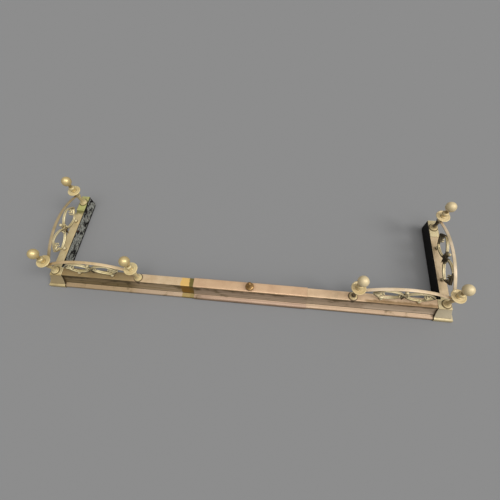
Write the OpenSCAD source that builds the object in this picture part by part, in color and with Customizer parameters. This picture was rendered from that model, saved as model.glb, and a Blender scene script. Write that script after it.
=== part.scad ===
// Extending fire fender: a low brass kerb in three pieces that stands on the
// floor round a hearth.  A middle sleeve carries two L-shaped arms that slide
// in it, so the front can be drawn out to suit the fireplace.  Each arm has a
// corner and two galleries: turned pillars, an arched strap and a cast scroll.
//
// Frame: +Z up, floor at z = 0, +X along the front, +Y towards the wall.
// The origin is at the middle of the footprint with the arms as photographed.

/* [Footprint] */
// Distance between the two corner pillars
post_span = 1200; // [1180:5:1210]
// Distance between the two pillars of the right front and left return galleries
gallery_span = 266; // [256:1:270]
// How much longer the left front gallery is
left_front_extra = 8; // [0:1:10]
// How much shorter the right return and its gallery are
right_return_short = 5; // [0:1:8]
// Depth of the footprint from the front nose to the back end
footprint_depth = 330; // [325:1:345]

/* [Kerb] */
// Height of the top of the arm rails
rail_top_z = 50.5; // [49:0.5:52]
// Outward spread of the returns as a share of the spread of the front
side_spread = 0.74; // [0.7:0.02:1]
// Half the width of the flat top of the rails
rail_top_half = 13.3; // [12:0.1:14]
// Thickness of the brass sheet of the rails
rail_sheet = 1.2; // [0.9:0.1:1.4]
// Height of the rail hems above the floor
rail_hem_z = 2; // [1.8:0.1:2.4]
// Thickness of the iron channels inside the rails
channel_sheet = 1.5; // [1:0.1:2]

/* [Sleeve] */
// Length of the middle sleeve
sleeve_len = 349; // [330:1:360]
// Distance of the middle of the sleeve from the middle of the footprint
sleeve_x = 25.5; // [20:0.5:30]
// Running gap between the arms and the sleeve
slide_gap = 0.5; // [0.4:0.05:0.7]
// Thickness of the brass sheet of the sleeve
sleeve_sheet = 1; // [0.8:0.1:1.2]
// Length of the left arm inside the sleeve
left_engaged = 94; // [60:1:120]
// Length of the right arm inside the sleeve
right_engaged = 140; // [60:1:150]

/* [Castings] */
// Height of the flat tops of the corner and end castings
casting_top_z = 52; // [51.8:0.1:53]
// Length of each corner casting inwards from the pillar
corner_reach = 23.4; // [18:0.1:30]
// Length of the casting at the back end of each return
end_casting_len = 61; // [50:1:70]
// Thickness of the back wall of the end castings
end_wall = 2.5; // [1.5:0.1:4]

/* [Galleries] */
// Width of the arched straps
strap_w = 9.2; // [8:0.1:10]
// Thickness of the arched straps
strap_t = 2.5; // [2:0.1:3]
// Height of the top of an arch at its middle
arch_crest_z = 135.5; // [130:0.5:140]
// Radius of the balls
ball_r = 15.5; // [14.5:0.5:17]
// Height of the middle of the balls
ball_z = 168; // [166:0.5:172]
// Radius of the saucers
saucer_r = 20.7; // [18:0.1:22]
// Depth of the scroll castings from front to back
scroll_depth = 8; // [6:0.1:9]
// Width of the strands of the scroll castings
scroll_strand = 6; // [5:0.1:7]

/* [Hidden] */
$fn = 64;

// colours
SLEEVE_BRASS = "#a78a6c";
RAIL_BRASS = "#a98f6d";
CAST_BRASS = "#a4945f";
VERDIGRIS = "#98954f";
TURNED_BRASS = "#b89b5e";
STRAP_BRASS = "#a8906c";
SCROLL_BRASS = "#9c8c60";
BLACK_IRON = "#33312e";
STEEL = "#77736b";

// plan positions
post_x = post_span / 2;
nose_reach = 37;
front_y = -footprint_depth / 2 + nose_reach;
back_end_y = footprint_depth / 2;
sleeve_left_x = sleeve_x - sleeve_len / 2;
sleeve_right_x = sleeve_x + sleeve_len / 2;
CORNER = 0;
INNER = 1;
BACK = 2;
left_arm_end = -(sleeve_left_x + left_engaged);
right_arm_end = sleeve_right_x - right_engaged;

// lengths that differ between the left arm (side -1) and the right arm (side 1)
function front_span(side) = side < 0 ? gallery_span + left_front_extra : gallery_span;
function return_span(side) = side < 0 ? gallery_span : gallery_span - right_return_short;
function back_end(side) = side < 0 ? back_end_y : back_end_y - right_return_short;

// kerb mouldings, as [half width of top, top height, arris radius, height at
// which the cove starts, outward reach and height of the foot of the cove,
// outward reach, height and radius of the nose, height of the middle of the
// cove's arc over its start: 0 gives a full cove, more gives a flatter one]
RAIL = [rail_top_half, rail_top_z, 2, rail_top_z - 2.5, 22, 17, 35, 7, 3, 0];
CASTING = [rail_top_half + 2, casting_top_z, 1.6, casting_top_z - 2.5, 30.5, 16.5,
           nose_reach, 10.5, 3.5, 40];
LEDGE_ANGLE = 15;
// reach past every section and every height of the kerb
FAR = 60;

// The same moulding with its outward spread drawn in, as the returns have it.
function drawn_in(m) = [m[0], m[1], m[2], m[3], m[0] + side_spread * (m[4] - m[0]), m[5],
                        m[0] + side_spread * (m[6] - m[0]), m[7], m[8], m[9]];
RAIL_SIDE = drawn_in(RAIL);
CASTING_SIDE = drawn_in(CASTING);

// castings over the rails
cast_gap = 0.3;
mitre_len = 400;

// sleeve
sleeve_grow = slide_gap + sleeve_sheet;
back_gap = 0.3;
sleeve_plate_t = 1;
sleeve_base_t = 1.2;
sleeve_flange_t = 0.8;
sleeve_flange_h = 10;
sleeve_plate_o = -rail_top_half - back_gap;
sleeve_back_o = sleeve_plate_o - sleeve_plate_t;
sleeve_top_z = rail_top_z + sleeve_grow;
sleeve_under_z = rail_top_z + slide_gap;
rivet_r = 1.5;
rivet_head_r = 3;
rivet_head_h = 1.1;
rivet_count = 5;
rivet_z = sleeve_top_z - 6;
knob_stud_up = 15;
knob_stud_down = 7;

// channels
channel_top_z = rail_top_z - rail_sheet;
channel_under_z = channel_top_z - channel_sheet;
channel_reach = 11.5;
web_corner_r = 11;
access_hole_r = 8;
hole_h = 10;

// gallery fixings
rod_r = 3;
rod_hole_r = 3.2;
washer_w = 20;
washer_t = 2;
nut_flats_r = 5.8;
nut_h = 5;
rod_bottom_z = channel_under_z - washer_t - nut_h - 2;
rod_top_z = 158;
screw_r = 2;
screw_hole_r = 2.1;
screw_head_r = 3.6;
screw_head_h = 2.6;
screw_top_z = 60;

// pillar, saucer and ball
pillar_top_z = 97;
saucer_base_z = pillar_top_z + 2 * strap_t;
saucer_top_z = 121;
saucer_seat_z = 119.4;

// arched strap
eye_r = 8;
eye_flat = 9.5;
arch_foot_z = pillar_top_z + strap_t;

// scroll casting, measured along the gallery from the middle of the scroll
scroll_mid_z = 90;
loop_peak_u = 48;
loop_peak_h = 26;
loop_r = (loop_peak_u * loop_peak_u + loop_peak_h * loop_peak_h) / (2 * loop_peak_h);
loop_end_u = 75;
loop_end_h = loop_peak_h - loop_r
    + sqrt(loop_r * loop_r - (loop_end_u - loop_peak_u) * (loop_end_u - loop_peak_u));
leaf_tip_u = 86;
leaf_end_r = ((leaf_tip_u - loop_end_u) * (leaf_tip_u - loop_end_u) + loop_end_h * loop_end_h)
    / (2 * (leaf_tip_u - loop_end_u));
foot_u = 54;
foot_bead_r = 4.6;
foot_bead_sink = 1.2;
foot_post_r = 2.6;
foot_post_h = 13;
knot_r = 8;
boss_r = 4;
boss_proud = 1.5;
stem_half = 2.5;
stem_bead_u = 22;
stem_bead_r = 4.8;
// pointed drop under the knot, and the round lobes of the leaf and of the
// curl beside the knot, as [along, up, radius]
DROP = [[-5, -4], [5, -4], [4, -14], [0, -30], [-4, -14]];
LOBES = [[66, 11, 5.5], [72, 6, 6.5], [60, 5, 4.5], [9, 10, 4]];
// block that joins the lobes to the end of the loop, as [from, to, half height]
LEAF_HEART = [68, 80, 6];

// ---------------------------------------------------------------- placing

// Right-hand shapes stay; left-hand shapes are their mirror image.
module on_side(side) {
    if (side < 0) mirror([1, 0, 0]) children();
    else children();
}

// A kerb section run along the front, from x0 to x1.
module along_front(x0, x1) {
    translate([x0, front_y, 0]) mirror([0, 1, 0]) rotate([90, 0, 90])
        linear_extrude(height = x1 - x0) children();
}

// A kerb section run along the right-hand return, from y0 to y1.
module along_return(y0, y1) {
    translate([post_x, y1, 0]) rotate([90, 0, 0])
        linear_extrude(height = y1 - y0) children();
}

// Everything past the mitre of the rails: on the return's side (1) or on the front's (-1).
module past_mitre(way) {
    far_x = way * 3 * mitre_len;
    translate([post_x, front_y, -1]) linear_extrude(height = FAR)
        polygon([[-mitre_len, mitre_len], [rail_top_half, -rail_top_half],
                 [rail_top_half + side_spread * mitre_len, -rail_top_half - mitre_len],
                 [far_x, -rail_top_half - mitre_len], [far_x, mitre_len]]);
}

// A section run along the front from x0 to the mitre, kept within the outline of the return.
module mitred_front(x0) {
    difference() {
        intersection() {
            along_front(x0, post_x + FAR) children();
            along_return(front_y - FAR, front_y + FAR) kerb_outline(RAIL_SIDE, 0, -post_span, -1);
        }
        past_mitre(1);
    }
}

// A section run along the return from the mitre to y1.
module mitred_return(y1) {
    difference() {
        along_return(front_y - FAR, y1) children();
        past_mitre(-1);
    }
}

// A pillar place of the arm on a side: CORNER, INNER or BACK.
module at_post(side, place) {
    x = place == INNER ? post_x - front_span(side) : post_x;
    y = place == BACK ? front_y + return_span(side) : front_y;
    translate([x, y, 0]) children();
}

module at_posts(side) {
    for (place = [CORNER, INNER, BACK]) at_post(side, place) children();
}

// A gallery drawn from its corner pillar along +X, set on the front or the return.
module on_front() { translate([post_x, front_y, 0]) mirror([1, 0, 0]) children(); }
module on_return() { translate([post_x, front_y, 0]) rotate([0, 0, 90]) children(); }

// The two feet of a scroll, along a gallery of this span.
module at_feet(span) {
    for (u = [-foot_u, foot_u]) translate([span / 2 + u, 0, 0]) children();
}

// --------------------------------------------------------------- sections

// Solid outline of a kerb moulding m, moved outwards by grow.
module kerb_outline(m, grow, back_o, bottom_z) {
    top_o = m[0] + grow;
    top = m[1] + grow;
    arris = m[2] + grow;
    foot_o = m[4] + grow;
    cove_w = m[4] - m[0];
    cove_h = m[3] - m[5];
    cove_o = (cove_w * cove_w + cove_h * cove_h + 2 * cove_h * m[9]) / (2 * cove_w);
    cove_r = sqrt(cove_o * cove_o + m[9] * m[9]);
    nose_r = m[8] + grow;
    nose_mid = [m[6] - m[8], m[7]];
    face_o = nose_mid[0] + nose_r;
    // point where the sloping ledge meets the round of the nose
    brow = nose_mid + nose_r * [sin(LEDGE_ANGLE), cos(LEDGE_ANGLE)];
    difference() {
        polygon([[back_o, bottom_z], [back_o, top], [top_o, top], [top_o, m[3]], [foot_o, m[3] - 1],
                 [foot_o, brow[1] + (brow[0] - foot_o) * tan(LEDGE_ANGLE)],
                 [face_o, brow[1] - (face_o - brow[0]) * tan(LEDGE_ANGLE)], [face_o, bottom_z]]);
        intersection() {
            translate([m[0] + cove_o, m[3] + m[9]]) circle(r = cove_r - grow, $fn = 160);
            translate([0, m[5] - 0.5]) square([2 * FAR, cove_h + 0.5]);
        }
        translate([top_o - arris, top - arris]) difference() {
            square(2 * arris);
            circle(r = arris);
        }
        difference() {
            polygon([nose_mid, nose_mid + 1.4 * (brow - nose_mid),
                     nose_mid + 1.4 * [nose_r, nose_r], nose_mid + [1.4 * nose_r, 0]]);
            translate(nose_mid) circle(r = nose_r);
        }
    }
}

// Brass sheet of an arm rail of moulding m, open at the back and underneath.
module rail_section(m) {
    difference() {
        kerb_outline(m, 0, -rail_top_half, rail_hem_z);
        kerb_outline(m, -rail_sheet, -FAR, -1);
    }
}

// Iron channel inside a rail of moulding m: top flange, web towards the hearth, and foot.
module channel_section(m) {
    web_h = channel_top_z - rail_hem_z;
    translate([-rail_top_half, channel_under_z])
        square([rail_top_half + channel_reach, channel_sheet]);
    translate([-rail_top_half, rail_hem_z]) square([channel_sheet, web_h]);
    translate([-rail_top_half, rail_hem_z])
        square([rail_top_half + m[6] - rail_sheet, channel_sheet]);
}

// Space inside a casting, which the rail of moulding m fills.
module casting_cavity(m) {
    intersection() {
        kerb_outline(m, cast_gap, -FAR, -1);
        translate([-FAR, -1]) square([2 * FAR, rail_top_z + 1]);
    }
}

// Brass sheet of the sleeve, with a flange down its back.
module sleeve_cover_section() {
    outer_o = sleeve_back_o - sleeve_flange_t;
    difference() {
        kerb_outline(RAIL, sleeve_grow, outer_o, 0);
        kerb_outline(RAIL, slide_gap, sleeve_back_o, -1);
        translate([outer_o - 1, -1]) square([-outer_o, sleeve_top_z - sleeve_flange_h + 1]);
    }
}

// ----------------------------------------------------------------- sleeve

module sleeve_cover() {
    color(SLEEVE_BRASS) difference() {
        along_front(sleeve_left_x, sleeve_right_x) sleeve_cover_section();
        knob_axis() translate([0, 0, sleeve_under_z - 1]) cylinder(r = screw_hole_r, h = 4);
        rivet_places() cylinder(r = rivet_r, h = FAR, center = true);
    }
}

module sleeve_back_plate() {
    color(BLACK_IRON) difference() {
        along_front(sleeve_left_x, sleeve_right_x) {
            translate([sleeve_back_o, 0]) square([sleeve_plate_t, sleeve_under_z]);
            translate([sleeve_back_o, 0])
                square([RAIL[6] + slide_gap - sleeve_back_o, sleeve_base_t]);
        }
        rivet_places() cylinder(r = rivet_r, h = FAR, center = true);
    }
}

// The row of rivets along the hearth side, each drawn along +Z towards the hearth.
module rivet_places() {
    pitch = sleeve_len / rivet_count;
    for (i = [0 : rivet_count - 1])
        translate([sleeve_left_x + pitch * (i + 0.5), front_y - sleeve_back_o, rivet_z])
            rotate([-90, 0, 0]) children();
}

module sleeve_rivets() {
    color(TURNED_BRASS) rivet_places() {
        translate([0, 0, -sleeve_plate_t])
            cylinder(r = rivet_r, h = sleeve_plate_t + sleeve_flange_t);
        translate([0, 0, sleeve_flange_t]) cylinder(r = rivet_head_r, h = rivet_head_h);
    }
}

module knob_axis() { translate([sleeve_x, front_y, 0]) children(); }

// Mushroom knob with a small bead on top, its heights measured from the sleeve.
module centre_knob() {
    foot_r = 8;
    foot_h = 4;
    bead_r = 6.3;
    bead_z = 26;
    disc_z = 6.5;
    disc_edge_r = 3.5;
    disc_o = 9.5;
    neck_r = 4;
    neck_z = 20;
    dome_z = disc_z + disc_edge_r - 0.2;
    dome_h = neck_z - dome_z;
    dome_r = ((disc_o - neck_r) * (disc_o - neck_r) + dome_h * dome_h) / (2 * (disc_o - neck_r));
    color(TURNED_BRASS) knob_axis() translate([0, 0, sleeve_top_z]) difference() {
        rotate_extrude() {
            square([foot_r, foot_h]);
            square([neck_r, bead_z]);
            translate([0, disc_z - disc_edge_r]) square([disc_o, 2 * disc_edge_r]);
            translate([disc_o, disc_z]) circle(r = disc_edge_r);
            difference() {
                translate([0, dome_z]) square([disc_o, dome_h]);
                translate([neck_r + dome_r, neck_z]) circle(r = dome_r);
            }
            intersection() {
                translate([0, bead_z]) circle(r = bead_r);
                square(FAR);
            }
        }
        translate([0, 0, -1]) cylinder(r = screw_hole_r, h = knob_stud_up + 1);
    }
}

module centre_knob_stud() {
    color(STEEL) knob_axis() translate([0, 0, sleeve_under_z - knob_stud_down])
        cylinder(r = screw_r, h = knob_stud_down + sleeve_sheet + knob_stud_up);
}

// Washer and hexagon nut under the top of the sleeve.
module centre_knob_nut() {
    disc_r = 5;
    disc_h = 1;
    flats_r = 4.2;
    depth = 5;
    color(STEEL) knob_axis() translate([0, 0, sleeve_under_z - depth]) difference() {
        union() {
            translate([0, 0, depth - disc_h]) cylinder(r = disc_r, h = disc_h);
            cylinder(r = flats_r, h = depth - disc_h, $fn = 6);
        }
        translate([0, 0, -1]) cylinder(r = screw_hole_r, h = depth + 2);
    }
}

// ------------------------------------------------------------ kerb of arms

// Holes through the tops of the front rail and channel.
module front_holes(side) {
    at_post(side, CORNER) rod_hole();
    at_post(side, INNER) rod_hole();
    on_front() at_feet(front_span(side)) screw_hole();
}

module return_holes(side) {
    at_post(side, CORNER) rod_hole();
    at_post(side, BACK) rod_hole();
    on_return() at_feet(return_span(side)) screw_hole();
}

module rod_hole() {
    translate([0, 0, channel_under_z - 1]) cylinder(r = rod_hole_r, h = hole_h);
}

module screw_hole() {
    translate([0, 0, channel_under_z - 1]) cylinder(r = screw_hole_r, h = hole_h);
}

module access_hole() { cylinder(r = access_hole_r, h = hole_h); }

module front_rail(side, inner_x) {
    color(RAIL_BRASS) on_side(side) difference() {
        mitred_front(inner_x) rail_section(RAIL);
        front_holes(side);
    }
}

module return_rail(side) {
    color(RAIL_BRASS) on_side(side) difference() {
        mitred_return(back_end(side) - end_wall) rail_section(RAIL_SIDE);
        return_holes(side);
    }
}

module front_channel(side, inner_x) {
    color(BLACK_IRON) on_side(side) difference() {
        mitred_front(inner_x) channel_section(RAIL);
        front_holes(side);
        at_post(side, CORNER) access_hole();
        at_post(side, INNER) access_hole();
        on_front() at_feet(front_span(side)) access_hole();
    }
}

// Corner of radius r to cut away, seen along X, with its point at the origin.
module round_corner(r) {
    rotate([90, 0, 90]) translate([0, 0, -FAR]) linear_extrude(height = 2 * FAR) difference() {
        translate([-r, -1]) square([r + 1, r + 1]);
        translate([-r, r]) circle(r = r, $fn = 64);
    }
}

// The web runs on past the end wall, and its lower back corner is round.
module return_channel(side) {
    web_y = back_end(side) - end_wall - 1;
    color(BLACK_IRON) on_side(side) difference() {
        union() {
            mitred_return(back_end(side) - end_wall) channel_section(RAIL_SIDE);
            translate([post_x - rail_top_half, web_y, rail_hem_z])
                cube([channel_sheet, end_wall + 1, channel_top_z - rail_hem_z]);
        }
        translate([post_x, back_end(side), rail_hem_z]) round_corner(web_corner_r);
        return_holes(side);
        at_post(side, CORNER) access_hole();
        at_post(side, BACK) access_hole();
        on_return() at_feet(return_span(side)) access_hole();
    }
}

// Cap over the corner of the kerb, where its two mouldings meet.
module corner_casting(side) {
    color(CAST_BRASS) on_side(side) difference() {
        intersection() {
            along_front(post_x - corner_reach, post_x + FAR)
                kerb_outline(CASTING, 0, -corner_reach, 0);
            along_return(front_y - FAR, front_y + corner_reach)
                kerb_outline(CASTING_SIDE, 0, -corner_reach, 0);
        }
        intersection() {
            along_front(post_x - FAR, post_x + FAR) casting_cavity(RAIL);
            along_return(front_y - FAR, front_y + FAR) casting_cavity(RAIL_SIDE);
        }
        translate([post_x - rail_top_half - FAR, front_y + rail_top_half, -1])
            cube([FAR, FAR, FAR]);
        at_post(side, CORNER) cylinder(r = rod_hole_r, h = FAR);
    }
}

// Cap over the back end of a return, closed by a wall that stops at the web.
module end_casting(side) {
    end_y = back_end(side);
    start_y = end_y - end_casting_len;
    wall_x = post_x - rail_top_half + channel_sheet + cast_gap;
    color(side < 0 ? VERDIGRIS : CAST_BRASS) on_side(side) difference() {
        along_return(start_y, end_y) kerb_outline(CASTING_SIDE, 0, -rail_top_half, 0);
        along_return(start_y - 1, end_y - end_wall) casting_cavity(RAIL_SIDE);
        translate([wall_x - FAR, end_y - end_wall - 1, -1]) cube([FAR, FAR, rail_top_z + 1]);
        translate([wall_x, end_y, 0]) rotate([0, 0, 90]) round_corner(web_corner_r);
        at_post(side, BACK) cylinder(r = rod_hole_r, h = FAR);
    }
}

// ---------------------------------------------------------------- finials

// Turned lower pillar between the kerb (base_z) and the strap (top_z): a round
// foot, a trumpet that narrows to the neck, a collar bead and a cap.
module pillar_turning(base_z, top_z) {
    foot_z = casting_top_z;
    foot_r = 12;
    roll_r = 2.4;
    roll_h = 2 * roll_r;
    neck_r = 5.4;
    flare_top_z = foot_z + 18;
    flare_r = foot_r - roll_r;
    flare_h = flare_top_z - foot_z - roll_h;
    flare_arc = ((flare_r - neck_r) * (flare_r - neck_r) + flare_h * flare_h)
        / (2 * (flare_r - neck_r));
    collar_z = 94;
    collar_o = 6;
    bead_r = 2.5;
    cap_r = 7.5;
    cap_z = collar_z + 1.5;
    difference() {
        rotate_extrude() {
            translate([0, base_z]) square([foot_r, foot_z + roll_r - base_z]);
            translate([0, foot_z]) square([flare_r, roll_h]);
            translate([flare_r, foot_z + roll_r]) circle(r = roll_r);
            translate([0, base_z]) square([neck_r, top_z - base_z]);
            difference() {
                translate([0, foot_z + roll_h]) square([flare_r, flare_h]);
                translate([neck_r + flare_arc, flare_top_z]) circle(r = flare_arc, $fn = 160);
            }
            translate([0, collar_z - bead_r]) square([collar_o, top_z - collar_z + bead_r]);
            translate([collar_o, collar_z]) circle(r = bead_r);
            translate([0, cap_z]) square([cap_r, top_z - cap_z]);
        }
        translate([0, 0, base_z - 1]) cylinder(r = rod_hole_r, h = top_z - base_z + 2);
    }
}

// Each lower pillar stands on a casting or on the rail, under one eye or two.
module pillar(side, place) {
    base_z = place == INNER ? rail_top_z : casting_top_z;
    top_z = place == CORNER ? pillar_top_z : arch_foot_z;
    color(TURNED_BRASS) on_side(side) at_post(side, place) pillar_turning(base_z, top_z);
}

// Turned saucer: a small foot, a trumpet underside, a round rim and a dished top.
module saucer(side, place) {
    edge_r = 1.6;
    rim_o = saucer_r - edge_r;
    rim_z = saucer_top_z - edge_r;
    foot_r = 8.6;
    foot_top_z = saucer_base_z + 3;
    throat_r = 7.5;
    trumpet_h = rim_z - edge_r - foot_top_z;
    trumpet_r = ((rim_o - throat_r) * (rim_o - throat_r) + trumpet_h * trumpet_h)
        / (2 * (rim_o - throat_r));
    color(TURNED_BRASS) on_side(side) at_post(side, place) difference() {
        rotate_extrude() {
            difference() {
                polygon([[0, saucer_base_z], [foot_r, saucer_base_z], [foot_r, foot_top_z],
                         [rim_o, foot_top_z], [rim_o, saucer_top_z],
                         [foot_r, saucer_seat_z], [0, saucer_seat_z]]);
                translate([throat_r + trumpet_r, foot_top_z]) circle(r = trumpet_r);
            }
            translate([rim_o, rim_z]) circle(r = edge_r);
        }
        translate([0, 0, saucer_base_z - 1])
            cylinder(r = rod_hole_r, h = saucer_top_z - saucer_base_z + 2);
    }
}

// Turned ball with its foot, ring bead and neck in one piece.
module ball(side, place) {
    foot_r = 8;
    foot_h = 2.2;
    stem_r = 6.6;
    stem_h = 6;
    neck_r = 5;
    bead_o = 3.8;
    bead_z = 134;
    bead_r = 5;
    color(TURNED_BRASS) on_side(side) at_post(side, place) difference() {
        rotate_extrude() {
            translate([0, saucer_seat_z]) square([stem_r, stem_h]);
            translate([0, saucer_seat_z]) square([foot_r, foot_h]);
            translate([0, saucer_seat_z]) square([neck_r, ball_z - saucer_seat_z]);
            intersection() {
                union() {
                    translate([bead_o, bead_z]) circle(r = bead_r, $fn = 48);
                    translate([0, ball_z]) circle(r = ball_r, $fn = 96);
                }
                translate([0, saucer_seat_z]) square(2 * FAR);
            }
        }
        translate([0, 0, saucer_seat_z - 1])
            cylinder(r = rod_hole_r, h = rod_top_z - saucer_seat_z + 1);
    }
}

// -------------------------------------------------------------- galleries

// Arched flat strap with an eye at each end.  The eyes lie at eye_z; the far
// eye lies at far_z, where the strap is clamped on the other pillar.
module arch_strap(span, eye_z, far_z) {
    rise = arch_crest_z - arch_foot_z;
    half = span / 2 - eye_flat;
    bend_r = (half * half + rise * rise) / (2 * rise);
    lap = 3;
    module eye(z) {
        translate([0, 0, z]) cylinder(r = eye_r, h = strap_t);
    }
    difference() {
        union() {
            translate([span / 2, strap_w / 2, 0]) rotate([90, 0, 0])
                linear_extrude(height = strap_w) intersection() {
                    translate([0, arch_crest_z - bend_r]) difference() {
                        circle(r = bend_r, $fn = 200);
                        circle(r = bend_r - strap_t, $fn = 200);
                    }
                    translate([-half - 1, min(eye_z, far_z)])
                        square([2 * half + 2, arch_crest_z]);
                }
            translate([0, -strap_w / 2, eye_z]) cube([eye_flat + lap, strap_w, strap_t]);
            translate([span - eye_flat - lap, -strap_w / 2, far_z])
                cube([eye_flat + lap, strap_w, strap_t]);
            eye(eye_z);
            translate([span, 0, 0]) eye(far_z);
        }
        cylinder(r = rod_hole_r, h = arch_crest_z);
        translate([span, 0, 0]) cylinder(r = rod_hole_r, h = arch_crest_z);
    }
}

module front_arch(side) {
    color(STRAP_BRASS) on_side(side) on_front()
        arch_strap(front_span(side), arch_foot_z, arch_foot_z);
}

module return_arch(side) {
    color(STRAP_BRASS) on_side(side) on_return()
        arch_strap(return_span(side), pillar_top_z, arch_foot_z);
}

// Ring of the scroll's strand width round a centre.
module strand_ring(r) {
    difference() {
        circle(r = r + scroll_strand / 2, $fn = 128);
        circle(r = r - scroll_strand / 2, $fn = 128);
    }
}

// Outline of half of the scroll, towards +X from the middle, z measured from its middle.
module half_scroll_outline() {
    for (up = [1, -1]) {
        intersection() {
            translate([loop_peak_u, up * (loop_peak_h - loop_r)]) strand_ring(loop_r);
            translate([0, up > 0 ? 0 : -FAR]) square([loop_end_u, FAR]);
        }
        for (lobe = LOBES) translate([lobe[0], up * lobe[1]]) circle(r = lobe[2]);
    }
    intersection() {
        translate([leaf_tip_u - leaf_end_r, 0]) strand_ring(leaf_end_r);
        translate([loop_end_u - 0.5, -FAR / 2]) square(FAR);
    }
    translate([leaf_tip_u - 6, -4]) square([6, 8]);
    translate([LEAF_HEART[0], -LEAF_HEART[2]])
        square([LEAF_HEART[1] - LEAF_HEART[0], 2 * LEAF_HEART[2]]);
}

// Cast scroll: two loops that cross at a knot, a leaf at each end, a bead
// above, a pointed drop below and two bead feet.
module scroll_casting(span) {
    translate([span / 2, scroll_depth / 2, scroll_mid_z]) rotate([90, 0, 0])
        linear_extrude(height = scroll_depth) {
            half_scroll_outline();
            mirror([1, 0]) half_scroll_outline();
            circle(r = knot_r);
            translate([-stem_half, 0]) square([2 * stem_half, stem_bead_u - 2]);
            polygon(DROP);
        }
    translate([span / 2, 0, scroll_mid_z + stem_bead_u]) sphere(r = stem_bead_r);
    translate([span / 2, 0, scroll_mid_z]) rotate([90, 0, 0])
        cylinder(r = boss_r, h = scroll_depth + 2 * boss_proud, center = true);
    at_feet(span) difference() {
        union() {
            intersection() {
                translate([0, 0, rail_top_z + foot_bead_r - foot_bead_sink])
                    sphere(r = foot_bead_r);
                translate([-FAR / 2, -FAR / 2, rail_top_z]) cube([FAR, FAR, FAR]);
            }
            translate([0, 0, rail_top_z]) cylinder(r = foot_post_r, h = foot_post_h);
        }
        translate([0, 0, rail_top_z - 1])
            cylinder(r = screw_hole_r, h = screw_top_z - rail_top_z + 1);
    }
}

module front_scroll(side) {
    color(SCROLL_BRASS) on_side(side) on_front() scroll_casting(front_span(side));
}

module return_scroll(side) {
    color(SCROLL_BRASS) on_side(side) on_return() scroll_casting(return_span(side));
}

// ---------------------------------------------------------------- fixings

// Long rods that draw ball, saucer, strap, pillar and kerb together.
module tie_rods(side) {
    color(STEEL) on_side(side) at_posts(side) translate([0, 0, rod_bottom_z])
        cylinder(r = rod_r, h = rod_top_z - rod_bottom_z);
}

// Square washer and nut under the kerb on each rod.
module tie_nuts(side) {
    color(STEEL) on_side(side) at_posts(side) difference() {
        union() {
            translate([-washer_w / 2, -washer_w / 2, channel_under_z - washer_t])
                cube([washer_w, washer_w, washer_t]);
            translate([0, 0, channel_under_z - washer_t - nut_h])
                cylinder(r = nut_flats_r, h = nut_h, $fn = 6);
        }
        translate([0, 0, rod_bottom_z]) cylinder(r = rod_hole_r, h = FAR);
    }
}

// Screws up through the kerb into the feet of both scrolls.
module scroll_screws(side) {
    module screw() {
        translate([0, 0, channel_under_z - screw_head_h])
            cylinder(r = screw_head_r, h = screw_head_h);
        translate([0, 0, channel_under_z]) cylinder(r = screw_r, h = screw_top_z - channel_under_z);
    }
    color(STEEL) on_side(side) {
        on_front() at_feet(front_span(side)) screw();
        on_return() at_feet(return_span(side)) screw();
    }
}

// ------------------------------------------------------------------ nodes

sleeve_cover();
sleeve_back_plate();
sleeve_rivets();
centre_knob();
centre_knob_stud();
centre_knob_nut();

front_rail(-1, left_arm_end);  // left_front_rail
return_rail(-1);  // left_return_rail
front_channel(-1, left_arm_end);  // left_front_channel
return_channel(-1);  // left_return_channel
corner_casting(-1);  // left_corner_casting
end_casting(-1);  // left_end_casting
pillar(-1, CORNER);  // left_corner_pillar
pillar(-1, INNER);  // left_inner_pillar
pillar(-1, BACK);  // left_back_pillar
saucer(-1, CORNER);  // left_corner_saucer
saucer(-1, INNER);  // left_inner_saucer
saucer(-1, BACK);  // left_back_saucer
ball(-1, CORNER);  // left_corner_ball
ball(-1, INNER);  // left_inner_ball
ball(-1, BACK);  // left_back_ball
front_arch(-1);  // left_front_arch
return_arch(-1);  // left_return_arch
front_scroll(-1);  // left_front_scroll
return_scroll(-1);  // left_return_scroll
tie_rods(-1);  // left_tie_rods
tie_nuts(-1);  // left_tie_nuts
scroll_screws(-1);  // left_scroll_screws

front_rail(1, right_arm_end);  // right_front_rail
return_rail(1);  // right_return_rail
front_channel(1, right_arm_end);  // right_front_channel
return_channel(1);  // right_return_channel
corner_casting(1);  // right_corner_casting
end_casting(1);  // right_end_casting
pillar(1, CORNER);  // right_corner_pillar
pillar(1, INNER);  // right_inner_pillar
pillar(1, BACK);  // right_back_pillar
saucer(1, CORNER);  // right_corner_saucer
saucer(1, INNER);  // right_inner_saucer
saucer(1, BACK);  // right_back_saucer
ball(1, CORNER);  // right_corner_ball
ball(1, INNER);  // right_inner_ball
ball(1, BACK);  // right_back_ball
front_arch(1);  // right_front_arch
return_arch(1);  // right_return_arch
front_scroll(1);  // right_front_scroll
return_scroll(1);  // right_return_scroll
tie_rods(1);  // right_tie_rods
tie_nuts(1);  // right_tie_nuts
scroll_screws(1);  // right_scroll_screws
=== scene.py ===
"""An extending brass fire fender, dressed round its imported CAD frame.

Lengths are in metres in the frame's axes: +X along the front, +Y towards the wall, +Z up.
Every shape of an arm is drawn in the arm's own axes, which start at its corner pillar:
X points outwards from the hearth, Y runs along the kerb away from the corner, Z is up.
"""

from __future__ import annotations

import logging
import math
from dataclasses import dataclass, field, replace
from enum import Enum
from typing import Callable, Sequence

import bmesh
import bpy
from bmesh.types import BMEdge, BMesh, BMFace, BMVert
from mathutils import Matrix, Vector, noise

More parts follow.
